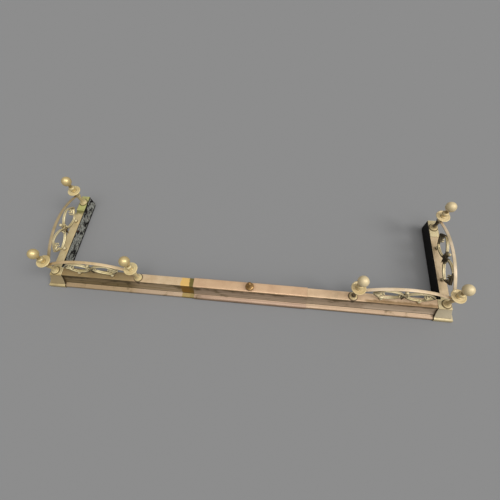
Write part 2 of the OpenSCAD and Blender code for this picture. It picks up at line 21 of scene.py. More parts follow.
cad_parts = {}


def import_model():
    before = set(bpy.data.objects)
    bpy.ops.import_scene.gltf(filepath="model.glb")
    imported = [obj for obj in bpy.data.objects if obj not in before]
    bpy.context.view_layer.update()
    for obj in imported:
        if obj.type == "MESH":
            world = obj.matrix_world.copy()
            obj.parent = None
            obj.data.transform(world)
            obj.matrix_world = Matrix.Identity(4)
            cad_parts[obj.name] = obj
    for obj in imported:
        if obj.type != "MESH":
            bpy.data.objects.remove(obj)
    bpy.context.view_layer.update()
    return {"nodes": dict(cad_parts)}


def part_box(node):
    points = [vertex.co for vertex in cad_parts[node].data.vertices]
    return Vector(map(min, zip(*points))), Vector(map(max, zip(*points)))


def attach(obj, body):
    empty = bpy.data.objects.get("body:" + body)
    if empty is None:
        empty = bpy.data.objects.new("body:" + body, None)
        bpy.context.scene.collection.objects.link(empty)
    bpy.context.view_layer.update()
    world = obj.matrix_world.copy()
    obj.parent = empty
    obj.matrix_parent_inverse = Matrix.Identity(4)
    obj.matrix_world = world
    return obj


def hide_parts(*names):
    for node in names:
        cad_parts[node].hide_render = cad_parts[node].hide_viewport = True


LOG = logging.getLogger("fender")
MM = 0.001
PLACES = ("corner", "inner", "back")
SAME_SPOT = 0.02 * MM

# What the vertices of a moulding keep as their band, from its back edge at 0 to its hem.
TOP_EDGE, QUIRK, BROW, NOSE, HEM = 1.0, 2.0, 3.0, 3.5, 4.0

Socket = bpy.types.NodeSocket
Pair = tuple[float, float]
Triple = tuple[float, float, float]
Colour = tuple[float, float, float, float]
Points = tuple[Pair, ...]
Rounds = tuple[tuple[float, float, float, float], ...]


# --------------------------------------------------------------------- choices


class Side(Enum):
    """The two arms of the fender. The value is the sign of X."""

    LEFT = -1
    RIGHT = 1

    @property
    def word(self) -> str:
        """The word that starts the names of this arm's nodes."""
        return self.name.lower()


class Run(Enum):
    """The two runs of kerb that meet at a corner."""

    FRONT = "front"
    RETURN = "return"


class Grain(Enum):
    """How the fine marks of a finish lie, as the stretch of its noise along X, Y and Z."""

    ALONG_X = (0.012, 1.0, 1.0)
    ALONG_Y = (1.0, 0.012, 1.0)
    CAST = (1.0, 1.0, 1.0)


# --------------------------------------------------------------------- drawing


def layer(bm: BMesh, name: str) -> bmesh.types.BMLayerItem:
    """The vertex layer of numbers with this name, made if it isn't there."""
    return bm.verts.layers.float.get(name) or bm.verts.layers.float.new(name)


def between(start: float, stop: float, share: float) -> float:
    """The number at a share of the way from one number to another."""
    return start + (stop - start) * share


class Outline:
    """A chain of vertices drawn point by point in the XZ plane, ready to sweep or turn.

    Each vertex keeps two numbers for the finishes: ``girth``, the distance drawn so
    far in millimetres, and ``band``, the part of the moulding that it lies on.
    """

    def __init__(self, bm: BMesh, x: float, z: float, band: float = 0.0) -> None:
        """Starts the chain.

        Args:
            bm: The mesh to draw in.
            x: Distance outwards of the first point.
            z: Height of the first point.
            band: Part of the moulding at the first point.
        """
        self.bm = bm
        self.girth = layer(bm, "girth")
        self.band = layer(bm, "band")
        self.verts: list[BMVert] = []
        self.line(x, z, band)

    def line(self, x: float, z: float, band: float = 0.0) -> Outline:
        """Draws a straight stretch to a point.

        Args:
            x: Distance outwards of the point.
            z: Height of the point.
            band: Part of the moulding at the point.

        Returns:
            The outline itself, so that calls can follow each other.
        """
        vert = self.bm.verts.new((x, 0.0, z))
        if self.verts:
            last = self.verts[-1]
            self.bm.edges.new((last, vert))
            vert[self.girth] = last[self.girth] + (vert.co - last.co).length / MM
        vert[self.band] = band
        self.verts.append(vert)
        return self

    def points(self, spots: Points, base: float = 0.0) -> Outline:
        """Draws straight stretches through points that are given in millimetres.

        Args:
            spots: Distance outwards of each point, and its height over the base.
            base: Height of the base, in metres.

        Returns:
            The outline itself.
        """
        for x, z in spots:
            self.line(x * MM, base + z * MM)
        return self

    def arc(self, x: float, z: float, degrees: float, steps: int, band: float = 0.0) -> Outline:
        """Draws a round stretch about a centre, clockwise when degrees is positive.

        Args:
            x: Distance outwards of the centre.
            z: Height of the centre.
            degrees: Angle of the stretch.
            steps: Number of straight pieces.
            band: Part of the moulding at its end.

        Returns:
            The outline itself.
        """
        centre = Vector((x, 0.0, z))
        arm = self.verts[-1].co - centre
        first = self.verts[-1][self.band]
        for step in range(1, steps + 1):
            share = step / steps
            spot = centre + Matrix.Rotation(math.radians(degrees) * share, 3, "Y") @ arm
            self.line(spot.x, spot.z, first + (band - first) * share)
        return self

    def trumpet(self, x: float, z: float, steps: int, flare: bool = False) -> Outline:
        """Draws the hollow side of a trumpet, which is upright at its throat.

        Args:
            x: Distance outwards of its end.
            z: Height of its end.
            steps: Number of straight pieces.
            flare: Whether the throat is at its start, and not at its end.

        Returns:
            The outline itself.
        """
        start = self.verts[-1].co.copy()
        width, height = abs(x - start.x), z - start.z
        radius = (width**2 + height**2) / (2 * width)
        throat_x, throat_z = (start.x, start.z) if flare else (x, z)
        angle = math.degrees(math.asin(min(1.0, height / radius)))
        return self.arc(throat_x + radius, throat_z, angle, steps)

    def globe(self, neck: float, z: float, radius: float, steps: int) -> Outline:
        """Draws a globe from the top of its neck to its pole.

        Args:
            neck: Radius of the neck.
            z: Height of the globe's middle.
            radius: Radius of the globe.
            steps: Number of straight pieces.

        Returns:
            The outline itself.
        """
        lean = math.asin(neck / radius)
        self.line(neck, z - radius * math.cos(lean))
        return self.arc(0, z, math.degrees(lean) - 180, steps)

    def close(self) -> Outline:
        """Joins the last vertex to the first."""
        self.bm.edges.new((self.verts[-1], self.verts[0]))
        return self


def everything(bm: BMesh) -> list:
    """All vertices, edges and faces of a mesh."""
    return [*bm.verts, *bm.edges, *bm.faces]


def only(items: Sequence, kind: type) -> list:
    """The vertices, edges or faces among what an operator has made."""
    return [item for item in items if isinstance(item, kind)]


def sweep(bm: BMesh, length: float, steps: int) -> None:
    """Sweeps what is drawn along +Y.

    Args:
        bm: The mesh.
        length: Distance to sweep.
        steps: Number of equal steps.
    """
    bmesh.ops.spin(
        bm, geom=[*bm.verts, *bm.edges], cent=(0, 0, 0), axis=(0, 0, 1), angle=0.0,
        steps=steps, dvec=(0, length / steps, 0),
    )


def turn(bm: BMesh, steps: int = 72) -> None:
    """Spins what is drawn once round the Z axis and closes its poles.

    Args:
        bm: The mesh.
        steps: Number of steps round the axis.
    """
    bmesh.ops.spin(
        bm, geom=[*bm.verts, *bm.edges], cent=(0, 0, 0), axis=(0, 0, 1), angle=math.tau,
        steps=steps, use_merge=True,
    )
    bmesh.ops.remove_doubles(bm, verts=bm.verts, dist=SAME_SPOT / 20)
    bmesh.ops.recalc_face_normals(bm, faces=bm.faces)


def extrude(bm: BMesh, start: float, length: float) -> None:
    """Fills a closed outline and extrudes it along +Y.

    Args:
        bm: The mesh.
        start: Where along Y it starts.
        length: How far it goes.
    """
    bmesh.ops.contextual_create(bm, geom=bm.edges)
    made = bmesh.ops.extrude_face_region(bm, geom=bm.faces)["geom"]
    bmesh.ops.translate(bm, vec=(0, length, 0), verts=only(made, BMVert))
    bmesh.ops.translate(bm, vec=(0, start, 0), verts=bm.verts)


def mitre(bm: BMesh) -> None:
    """Cuts a run of kerb off along the mitre of its corner.

    Args:
        bm: The mesh.
    """
    bmesh.ops.bisect_plane(
        bm, geom=everything(bm), plane_co=(0, 0, 0), plane_no=(1, 1, 0), clear_inner=True
    )


def face_up(bm: BMesh) -> None:
    """Turns an open sheet so that its outer side is the one that looks up.

    Args:
        bm: The mesh.
    """
    bm.normal_update()
    if sum(face.normal.z * face.calc_area() for face in bm.faces) < 0:
        bmesh.ops.reverse_faces(bm, faces=bm.faces)


def ripple(bm: BMesh, depth: float, length: float) -> None:
    """Gives hand-worked metal the slight unevenness of real sheet.

    Args:
        bm: The mesh.
        depth: Greatest movement of a vertex.
        length: Distance between two swells.
    """
    bm.normal_update()
    for vert in bm.verts:
        vert.co += vert.normal * depth * noise.noise(vert.co / length)


def soften(bm: BMesh, edges: Sequence[BMEdge], width: float) -> None:
    """Rounds some edges in two steps.

    Args:
        bm: The mesh.
        edges: The edges to round.
        width: Width of the rounding.
    """
    bmesh.ops.bevel(
        bm, geom=list(edges), offset=width, offset_type="OFFSET", segments=2, profile=0.5,
        affect="EDGES", material=-1, clamp_overlap=True,
    )


def sharp_edges(bm: BMesh, over: float = 30) -> list[BMEdge]:
    """The edges of a mesh that are sharper than an angle.

    Args:
        bm: The mesh.
        over: The angle between two faces, in degrees.

    Returns:
        The edges.
    """
    bm.normal_update()
    solid = [edge for edge in bm.edges if edge.is_manifold]
    return [edge for edge in solid if edge.calc_face_angle() > math.radians(over)]


def to_mesh(bm: BMesh, name: str) -> bpy.types.Mesh:
    """Writes a bmesh to a new mesh and frees it.

    Args:
        bm: The bmesh.
        name: The name of the mesh.

    Returns:
        The new mesh.
    """
    mesh = bpy.data.meshes.new(name)
    bm.to_mesh(mesh)
    bm.free()
    return mesh


def linear(code: str) -> Colour:
    """The shader colour of a colour that is written as on paper, such as "#d6b484"."""
    parts = [int(code[i : i + 2], 16) / 255 for i in (1, 3, 5)]
    return (*(p / 12.92 if p <= 0.04045 else ((p + 0.055) / 1.055) ** 2.4 for p in parts), 1.0)


# --------------------------------------------------------------------- shading


@dataclass(frozen=True)
class Patches:
    """Patches of soft noise, where it passes from the low to the high end of a fade.

    The scale is the number of swells in a metre, and the share is how strong the patches
    are at both ends. The shift reads another part of the noise.
    """

    scale: float
    fade: Pair
    share: Pair = (0.0, 1.0)
    detail: float = 3.0
    stretch: Triple = (1.0, 1.0, 1.0)
    shift: float = 0.0


@dataclass(frozen=True)
class Bumps:
    """Fine relief: its marks in a metre and their depth."""

    scale: float
    depth: float
    detail: float = 3.0
    shift: float = 0.0


class Recipe:
    """A material in the making: adds nodes and wires them, so that a finish reads as steps.

    It keeps the colour of the layers so far, and how dark they are with dirt and painted shade, from 0 to
    1. A socket, a number or a colour that is written as on paper can be fed to any input.
    """

    def __init__(self, name: str) -> None:
        """Starts a material with one plain shader.

        Args:
            name: The name of the material.
        """
        self.material = bpy.data.materials.new(name)
        self.material.use_nodes = True
        self.tree = self.material.node_tree
        self.shader = self.tree.nodes["Principled BSDF"]
        self.place = self.add("ShaderNodeTexCoord").outputs["Object"]
        self.colour: object = "#ffffff"
        self.grime_and_shade: object = 0.0

    def add(self, kind: str, **settings: object) -> bpy.types.Node:
        """Adds a node.

        Args:
            kind: The node's type.
            **settings: Its properties.

        Returns:
            The node.
        """
        node = self.tree.nodes.new(kind)
        for key, value in settings.items():
            setattr(node, key, value)
        return node

    def put(self, socket: Socket, value: object) -> None:
        """Feeds a socket from another one, or sets it to a plain value.

        Args:
            socket: The input.
            value: The other socket, or the value.
        """
        if isinstance(value, bpy.types.NodeSocket):
            self.tree.links.new(value, socket)
        else:
            socket.default_value = linear(value) if isinstance(value, str) else value

    def shade(self, name: str, value: object) -> None:
        """Feeds or sets one input of the shader."""
        self.put(self.shader.inputs[name], value)

    def lay(self, share: object, colour: object) -> None:
        """Lays a colour over the layers so far, as thick as its share says."""
        self.colour = self.mix(share, self.colour, colour)

    def tint(self, share: object, colour: object) -> None:
        """Tints the layers so far, as much as its share says."""
        self.lay(share, self.mix(1.0, self.colour, colour, "MULTIPLY"))

    def add_grime_and_shade(self, share: object) -> None:
        """Adds dirt and painted shade to the layers so far, where they aren't darker yet."""
        self.grime_and_shade = self.most(self.grime_and_shade, share)

    def maths(self, kind: str, first: object, *others: object) -> Socket:
        """Works a sum from left to right.

        Args:
            kind: The kind of sum, such as ADD.
            first: Its first value.
            *others: Its other values.

        Returns:
            The result.
        """
        result = first
        for value in others:
            node = self.add("ShaderNodeMath", operation=kind)
            self.put(node.inputs[0], result)
            self.put(node.inputs[1], value)
            result = node.outputs[0]
        return result

    def product(self, *values: object) -> Socket:
        """All values multiplied."""
        return self.maths("MULTIPLY", *values)

    def most(self, *values: object) -> Socket:
        """The highest of all values."""
        return self.maths("MAXIMUM", *values)

    def rest(self, value: object) -> Socket:
        """What is left of one."""
        return self.maths("SUBTRACT", 1.0, value)

    def stretched(self, stretch: Sequence[float], shift: float = 0.0) -> Socket:
        """The place on the object, for a noise to be read at.

        Args:
            stretch: Its stretch along the three axes.
            shift: Moves it to another part of the noise.

        Returns:
            The place.
        """
        node = self.add("ShaderNodeMapping")
        self.put(node.inputs["Vector"], self.place)
        node.inputs["Scale"].default_value = stretch
        node.inputs["Location"].default_value = (shift, shift * 0.7, shift * 1.3)
        return node.outputs[0]

    def noise(
        self, scale: float, detail: float = 3.0, stretch: Sequence[float] = (1, 1, 1),
        shift: float = 0.0, vector: Socket | None = None,
    ) -> Socket:
        """Soft noise.

        Args:
            scale: Number of swells in a metre.
            detail: Number of finer layers.
            stretch: Stretch of the noise along the axes.
            shift: Moves to another part of the noise.
            vector: The place to read it at, if not the stretched one.

        Returns:
            A number about 0.5.
        """
        node = self.add("ShaderNodeTexNoise")
        self.put(node.inputs["Vector"], vector or self.stretched(stretch, shift))
        node.inputs["Scale"].default_value = scale
        node.inputs["Detail"].default_value = detail
        node.inputs["Roughness"].default_value = 0.6
        return node.outputs["Fac"]

    def ramp(self, value: Socket, low: float, high: float, start: float = 0, end: float = 1) -> Socket:
        """Spreads one stretch of a value smoothly over another.

        Args:
            value: The value.
            low: Where its stretch starts. It may be above where it ends.
            high: Where its stretch ends.
            start: The result at low, and before it.
            end: The result at high, and beyond it.

        Returns:
            The result.
        """
        node = self.add("ShaderNodeMapRange", interpolation_type="SMOOTHSTEP")
        for key, number in (("From Min", low), ("From Max", high), ("To Min", start), ("To Max", end)):
            node.inputs[key].default_value = number
        self.put(node.inputs["Value"], value)
        return node.outputs["Result"]

    def near(self, value: Socket, middle: float, reach: float, share: float = 1.0) -> Socket:
        """A share where a value is at a middle, falling to zero at a reach on both sides."""
        away = self.maths("ABSOLUTE", self.maths("SUBTRACT", value, middle), 0.0)
        return self.ramp(away, reach * 0.35, reach, share, 0)

    def patches(self, patches: Patches, stretch: Sequence[float] | None = None) -> Socket:
        """Reads patches of noise, with another stretch than their own if there is one."""
        spots = self.noise(patches.scale, patches.detail, stretch or patches.stretch, patches.shift)
        return self.ramp(spots, *patches.fade, *patches.share)

    def mix(self, share: object, a: object, b: object, kind: str = "MIX") -> Socket:
        """Mixes two colours.

        Args:
            share: How much of the second there is.
            a: The first colour.
            b: The second colour.
            kind: The way to mix them.

        Returns:
            The mixed colour.
        """
        node = self.add("ShaderNodeMix", data_type="RGBA", blend_type=kind, clamp_factor=True)
        for index, value in ((0, share), (6, a), (7, b)):
            self.put(node.inputs[index], value)
        return node.outputs[2]

    def kept(self, name: str) -> Socket:
        """A number that the mesh keeps on its vertices, such as band or girth."""
        return self.add("ShaderNodeAttribute", attribute_name=name).outputs["Fac"]

    def part(self, vector: Socket, letter: str) -> Socket:
        """Splits a vector.

        Args:
            vector: The vector.
            letter: The part that is wanted: X, Y or Z.

        Returns:
            That part.
        """
        node = self.add("ShaderNodeSeparateXYZ")
        self.put(node.inputs[0], vector)
        return node.outputs[letter]

    def axis(self, letter: str) -> Socket:
        """One coordinate of the place on the object, in metres."""
        return self.part(self.place, letter)

    def uneven(self, letter: str, scale: float, detail: float, sway: float) -> Socket:
        """One coordinate of the place, swayed by a noise, so that what ends at it ends unevenly."""
        swell = self.maths("SUBTRACT", self.noise(scale, detail), 0.5)
        return self.maths("ADD", self.axis(letter), self.product(swell, sway))

    def facing(self, letter: str) -> Socket:
        """How far the surface faces along one axis, from -1 to 1."""
        return self.part(self.add("ShaderNodeNewGeometry").outputs["Normal"], letter)

    def foot_shadow_rings(self, reach: float = 12.6 * MM, width: float = 3 * MM, share: float = 0.8) -> Socket:
        """A painted shadow in a ring round the foot of every pillar.

        Args:
            reach: Radius of the ring.
            width: How far it fades on both sides.
            share: How dark the painted shadow is.

        Returns:
            The painted shadow.
        """
        flat = self.stretched((1, 1, 0))
        rings = []
        for arm in Side:
            for place in PLACES:
                axis = middle(f"{arm.word}_{place}_pillar")
                away = self.add("ShaderNodeVectorMath", operation="DISTANCE")
                self.put(away.inputs[0], flat)
                self.put(away.inputs[1], (axis.x, axis.y, 0.0))
                rings.append(self.near(away.outputs["Value"], reach, width, share))
        return self.most(*rings)

    def hollow(self, reach: float, inside: bool = False) -> Socket:
        """High in crevices, or on sharp edges.

        Args:
            reach: How far away the other side of a crevice may be.
            inside: Whether it looks inside, and so finds edges.

        Returns:
            A number from 0 to 1.
        """
        node = self.add("ShaderNodeAmbientOcclusion", inside=inside, only_local=False, samples=6)
        node.inputs["Distance"].default_value = reach
        return self.rest(node.outputs["AO"])

    def relief(self, height: Socket, depth: float, under: Socket | None = None) -> Socket:
        """Bump of a real depth.

        Args:
            height: Height of the surface, from 0 to 1.
            depth: What 1 stands for, in metres.
            under: Another bump that it lies on.

        Returns:
            The normal.
        """
        node = self.add("ShaderNodeBump")
        node.inputs["Strength"].default_value = 1.0
        node.inputs["Distance"].default_value = depth
        self.put(node.inputs["Height"], height)
        if under:
            self.put(node.inputs["Normal"], under)
        return node.outputs["Normal"]

    def bumps(
        self, bumps: Bumps, under: Socket | None = None, stretch: Sequence[float] = (1, 1, 1),
    ) -> Socket:
        """Reads bumps as relief, over another one if there is one."""
        height = self.noise(bumps.scale, bumps.detail, stretch, bumps.shift)
        return self.relief(height, bumps.depth, under)


# -------------------------------------------------------------------- finishes


@dataclass(frozen=True)
class Finish:
    """A finish of the fender, with the record's material slot that it stands for."""

    name: str
    slot: str

    def cook(self, recipe: Recipe) -> None:
        """Wires the material. Each kind of finish has its own."""
        raise NotImplementedError

    def material(self) -> bpy.types.Material:
        """The material of this finish, made the first time that it is asked for.

        Returns:
            The material.
        """
        name = f"{self.name}_finish"
        found = bpy.data.materials.get(name)
        if found:
            return found
        recipe = Recipe(name)
        self.cook(recipe)
        return recipe.material


@dataclass(frozen=True)
class Brass(Finish):
    """Old brass: a rubbed colour, a duller one in drifts, and dirt and painted shade where nothing rubs
    it.

    The left of the fender is painted more golden and the right paler: painted light, as the light falls
    differently on its two sides.
    """

    rubbed: str
    dull: str
    dirt: str = "#3c2c14"
    golden: str = "#fffae8"
    pale: str = "#fff7ea"
    golden_x: float = -0.62
    pale_x: float = 0.5
    grain: Grain = Grain.CAST
    metal: float = 0.22
    rough: Pair = (0.42, 0.58)
    dirt_rough: float = 0.2
    drift: Patches = Patches(22, (0.36, 0.66), detail=4)
    streak: Patches = Patches(900, (0.3, 0.75), (0, 0.28), 2, shift=3)
    speck: Patches = Patches(330, (0.62, 0.78), (0, 0.55), shift=9)
    fine: Bumps = Bumps(1400, 0.015 * MM, 2, 1)
    swell: Bumps = Bumps(120, 0.1 * MM, 3, 2)
    hollow: float = 5 * MM
    hollow_fade: Pair = (0.26, 0.6)
    crevice_grime_and_shade: float = 0.85

    def cook(self, recipe: Recipe) -> None:
        """Wires the layers from the bottom up.

        Args:
            recipe: The material in the making.
        """
        self.ground(recipe)
        self.wear(recipe)
        # Dirt and painted shade in crevices, from ambient occlusion, laid in the dirt colour.
        recipe.add_grime_and_shade(recipe.ramp(recipe.hollow(self.hollow), *self.hollow_fade, 0, self.crevice_grime_and_shade))
        recipe.lay(recipe.grime_and_shade, self.dirt)
        grit = recipe.patches(Patches(160, (0.3, 0.7), self.rough, shift=5), self.grain.value)
        recipe.shade("Base Color", recipe.colour)
        recipe.shade("Metallic", self.metal)
        rough = recipe.maths("ADD", grit, recipe.product(recipe.grime_and_shade, self.dirt_rough))
        recipe.shade("Roughness", rough)
        recipe.shade("Normal", self.surface(recipe))

    def ground(self, recipe: Recipe) -> None:
        """Lays the rubbed and dull metal, before wear.

        Args:
            recipe: The material in the making.
        """
        recipe.colour = recipe.mix(recipe.patches(self.drift), self.rubbed, self.dull)
        recipe.lay(recipe.patches(self.streak, self.grain.value), self.dull)
        # Painted light: a tint from golden on the left to pale on the right.
        across = recipe.ramp(recipe.axis("X"), self.golden_x, self.pale_x)
        recipe.colour = recipe.mix(
            1.0, recipe.colour, recipe.mix(across, self.golden, self.pale), "MULTIPLY"
        )
        recipe.grime_and_shade = recipe.patches(self.speck)

    def wear(self, recipe: Recipe) -> None:
        """Adds what handling has done to this kind of piece. Plain brass has nothing more."""

    def surface(self, recipe: Recipe) -> Socket:
        """Fine marks of the tool or of the sand, over slight swells."""
        return recipe.bumps(self.fine, recipe.bumps(self.swell), self.grain.value)


@dataclass(frozen=True)
class MouldedBrass(Brass):
    """Brass in the shape of the kerb's moulding, with a cove and a ledge of their own colours."""

    cove: str = "#9a8268"
    cove_fade: float = 0.12
    cove_share: float = 0.86
    ledge: str = "#a88d6e"
    ledge_share: float = 0.75
    quirk_fade: float = 0.09
    quirk_grime_and_shade: float = 0.85

    def wear(self, recipe: Recipe) -> None:
        """Colours the cove and the ledge, and paints dirt and shade in the quirk and a shadow round the
        pillars.

        Args:
            recipe: The material in the making.
        """
        band = recipe.kept("band")
        below_top = recipe.ramp(band, TOP_EDGE, TOP_EDGE + self.cove_fade, 0, self.cove_share)
        in_cove = recipe.product(below_top, recipe.ramp(band, QUIRK + 0.02, QUIRK + 0.1, 1, 0))
        recipe.lay(in_cove, self.cove_colour(recipe))
        recipe.lay(recipe.ramp(band, QUIRK + 0.04, QUIRK + 0.2, 0, self.ledge_share), self.ledge)
        # Dirt and painted shade along the crease of the quirk.
        recipe.add_grime_and_shade(recipe.near(band, QUIRK, self.quirk_fade, self.quirk_grime_and_shade))
        # Painted shadow rings round the feet of the pillars.
        recipe.add_grime_and_shade(recipe.foot_shadow_rings())

    def cove_colour(self, recipe: Recipe) -> object:
        """The colour of the cove. Each kind of moulding has its own."""
        raise NotImplementedError


@dataclass(frozen=True)
class SheetBrass(MouldedBrass):
    """Drawn brass sheet of the kerb, stained in blots."""

    cove_streak: str = "#bda58a"
    stain: str = "#5c4a24"
    top_stain: float = 0.25
    near_top: float = 0.2
    cove_stain: float = 0.85
    hem_grime_and_shade: float = 0.7
    metal: float = 0.35
    rough: Pair = (0.32, 0.46)
    streaks: Patches = Patches(210, (0.35, 0.7), detail=4, shift=11)

    def cove_colour(self, recipe: Recipe) -> Socket:
        """Streaks along the cove."""
        return recipe.mix(recipe.patches(self.streaks, self.grain.value), self.cove, self.cove_streak)

    def wear(self, recipe: Recipe) -> None:
        """Stains the top lightly and the cove strongly, most at its upper edge.

        Args:
            recipe: The material in the making.
        """
        super().wear(recipe)
        band = recipe.kept("band")
        upper = recipe.ramp(band, TOP_EDGE + 0.02, TOP_EDGE + 0.55, self.near_top, 0)
        blots = recipe.maths("ADD", recipe.noise(38, 5, (0.7, 0.7, 1.6), 17), upper)
        off_top = recipe.ramp(band, TOP_EDGE - 0.03, TOP_EDGE + 0.08)
        on_top = recipe.patches(Patches(17, (0.56, 0.75), (0, self.top_stain), 5, shift=23))
        below = recipe.product(recipe.ramp(blots, 0.56, 0.74, 0, self.cove_stain), off_top)
        recipe.lay(recipe.most(below, on_top), self.stain)
        # Dirt and painted shade on the nose down to the hem.
        recipe.add_grime_and_shade(recipe.ramp(band, NOSE + 0.05, HEM - 0.05, 0, self.hem_grime_and_shade))


@dataclass(frozen=True)
class DrawnOutBrass(SheetBrass):
    """The left front rail, whose stretch beside the sleeve was inside it until it was drawn out."""

    olive: str = "#bab69c"
    olive_ledge: str = "#f4f0dc"
    olive_tarnish_and_shade: float = 0.85
    shaded_to: float = -0.32
    fresh: str = "#ecc070"
    fresh_cove: str = "#8a6220"
    fresh_ledge: str = "#a0874e"
    fresh_from: float = -0.19
    line: str = "#5f5a26"
    line_from: float = -0.163

    def wear(self, recipe: Recipe) -> None:
        """Adds tarnish and painted shade under the gallery, the brighter stretch and the green line at the
        sleeve.

        Args:
            recipe: The material in the making.
        """
        super().wear(recipe)
        band = recipe.kept("band")
        x = recipe.axis("X")
        # Olive tarnish and painted shade of the gallery on the rail under it.
        under = recipe.ramp(x, self.shaded_to, self.shaded_to - 40 * MM, 0, self.olive_tarnish_and_shade)
        olive = recipe.mix(recipe.ramp(band, QUIRK, QUIRK + 0.1), self.olive, self.olive_ledge)
        recipe.tint(under, olive)
        sway_x = recipe.uneven("X", 70, 3, 12 * MM)
        fresh = recipe.mix(recipe.ramp(band, TOP_EDGE, TOP_EDGE + 0.1), self.fresh, self.fresh_cove)
        fresh = recipe.mix(recipe.ramp(band, QUIRK + 0.04, QUIRK + 0.15), fresh, self.fresh_ledge)
        recipe.lay(recipe.ramp(sway_x, self.fresh_from, self.fresh_from + 2 * MM), fresh)
        at_sleeve = recipe.ramp(sway_x, self.line_from, self.line_from + 3 * MM)
        thinner = recipe.ramp(band, TOP_EDGE, TOP_EDGE + 0.3, 0.92, 0.35)
        recipe.lay(recipe.product(at_sleeve, thinner), self.line)


@dataclass(frozen=True)
class ShadedBrass(SheetBrass):
    """The right front rail, with a painted shadow of the gallery as a brown band on its top, and a cove
    painted paler there as painted light.
    """

    from_x: float = 0.36
    line_y: float = -0.131
    brown: str = "#aea48e"
    painted_light_cove: str = "#d8c0a4"
    painted_light_streaks: Patches = Patches(120, (0.35, 0.65), (0.35, 0.9), 4, shift=29)

    def wear(self, recipe: Recipe) -> None:
        """Adds the painted shadow band and the painted light in the cove.

        Args:
            recipe: The material in the making.
        """
        super().wear(recipe)
        band = recipe.kept("band")
        along = recipe.ramp(recipe.axis("X"), self.from_x, self.from_x + 20 * MM)
        y = recipe.uneven("Y", 45, 2, 12 * MM)
        outer = recipe.ramp(y, self.line_y + 2 * MM, self.line_y - 5 * MM)
        on_top = recipe.ramp(band, TOP_EDGE + 0.02, TOP_EDGE + 0.1, 0.9, 0)
        # Painted shadow of the gallery: a brown band on the front of the top.
        recipe.tint(recipe.product(outer, along, on_top), self.brown)
        below_top = recipe.ramp(band, TOP_EDGE + 0.15, TOP_EDGE + 0.4)
        above_quirk = recipe.ramp(band, QUIRK - 0.05, QUIRK, 1, 0)
        streaks = recipe.patches(self.painted_light_streaks, self.grain.value)
        # Painted light: pale streaks in the cove along the gallery.
        recipe.lay(recipe.product(below_top, above_quirk, streaks, along), self.painted_light_cove)


@dataclass(frozen=True)
class GreenEndedBrass(SheetBrass):
    """The left return rail, which the green of its end casting has run on to."""

    green_from: float = 0.084
    green: str = "#7c7a3c"
    green_share: float = 0.85

    def wear(self, recipe: Recipe) -> None:
        """Adds the run of green to the end of the rail.

        Args:
            recipe: The material in the making.
        """
        super().wear(recipe)
        y = recipe.uneven("Y", 60, 3, 30 * MM)
        run = recipe.ramp(y, self.green_from, self.green_from + 14 * MM, 0, self.green_share)
        recipe.lay(run, self.green)


@dataclass(frozen=True)
class CastBrass(MouldedBrass):
    """Cast brass of the corners, with rubbed edges and the grainy skin that sand leaves."""

    cove: str = "#ae9c7a"
    cove_fade: float = 0.15
    cove_share: float = 0.7
    painted_light_cove: str = "#d6c9ae"
    ledge: str = "#f2e3b4"
    ledge_share: float = 0.25
    quirk_fade: float = 0.06
    quirk_grime_and_shade: float = 0.6
    edge: str = "#f2e3b4"
    edge_reach: float = 1.4 * MM
    edge_fade: Pair = (0.12, 0.42)
    edge_share: float = 0.85
    joint_top: float = 51.5 * MM
    joint_share: float = 0.9
    fine: Bumps = Bumps(700, 0.07 * MM, 4, 1)
    swell: Bumps = Bumps(90, 0.25 * MM, 3, 2)

    def cove_colour(self, recipe: Recipe) -> Socket:
        """Paler coves on the right, painted light."""
        return recipe.mix(recipe.ramp(recipe.axis("X"), -0.3, 0.3), self.cove, self.painted_light_cove)

    def wear(self, recipe: Recipe) -> None:
        """Brightens the edges, and paints shade on the ends that face the rails.

        Args:
            recipe: The material in the making.
        """
        super().wear(recipe)
        # Painted shade where the ends of the casting stand proud of the rails.
        recipe.add_grime_and_shade(self.joint(recipe))
        recipe.lay(self.at_edge(recipe, self.edge_share), self.edge)

    def at_edge(self, recipe: Recipe, share: float) -> Socket:
        """A share on sharp edges."""
        return recipe.ramp(recipe.hollow(self.edge_reach, inside=True), *self.edge_fade, 0, share)

    def joint(self, recipe: Recipe) -> Socket:
        """Painted shade on the ends of the casting, which face along the rails towards the sleeve.

        Args:
            recipe: The material in the making.

        Returns:
            The painted shade.
        """
        ends = []
        for letter in "XY":
            side = recipe.maths("SIGN", recipe.axis(letter), 0.0)
            inward = recipe.product(recipe.facing(letter), side, -1.0)
            ends.append(recipe.ramp(inward, 0.8, 0.95))
        top = self.joint_top
        under_top = recipe.ramp(recipe.axis("Z"), top, top - 1.5 * MM, 0, self.joint_share)
        return recipe.product(recipe.most(*ends), under_top)


@dataclass(frozen=True)
class GreenedBrass(CastBrass):
    """The left end casting, greened by damp, most at its edges and joints."""

    green: str = "#bcb968"
    edge_green: str = "#b4bf74"
    deep_green: str = "#7d8a3c"
    green_edge_share: float = 0.8
    bloom: Patches = Patches(34, (0.42, 0.62), (0.05, 0.55), 5, shift=31)
    deep: Patches = Patches(85, (0.56, 0.7), (0, 0.7), 4, shift=37)

    def wear(self, recipe: Recipe) -> None:
        """Lays the greens over the casting.

        Args:
            recipe: The material in the making.
        """
        super().wear(recipe)
        recipe.lay(recipe.patches(self.bloom), self.green)
        recipe.lay(self.at_edge(recipe, self.green_edge_share), self.edge_green)
        recipe.lay(recipe.patches(self.deep), self.deep_green)


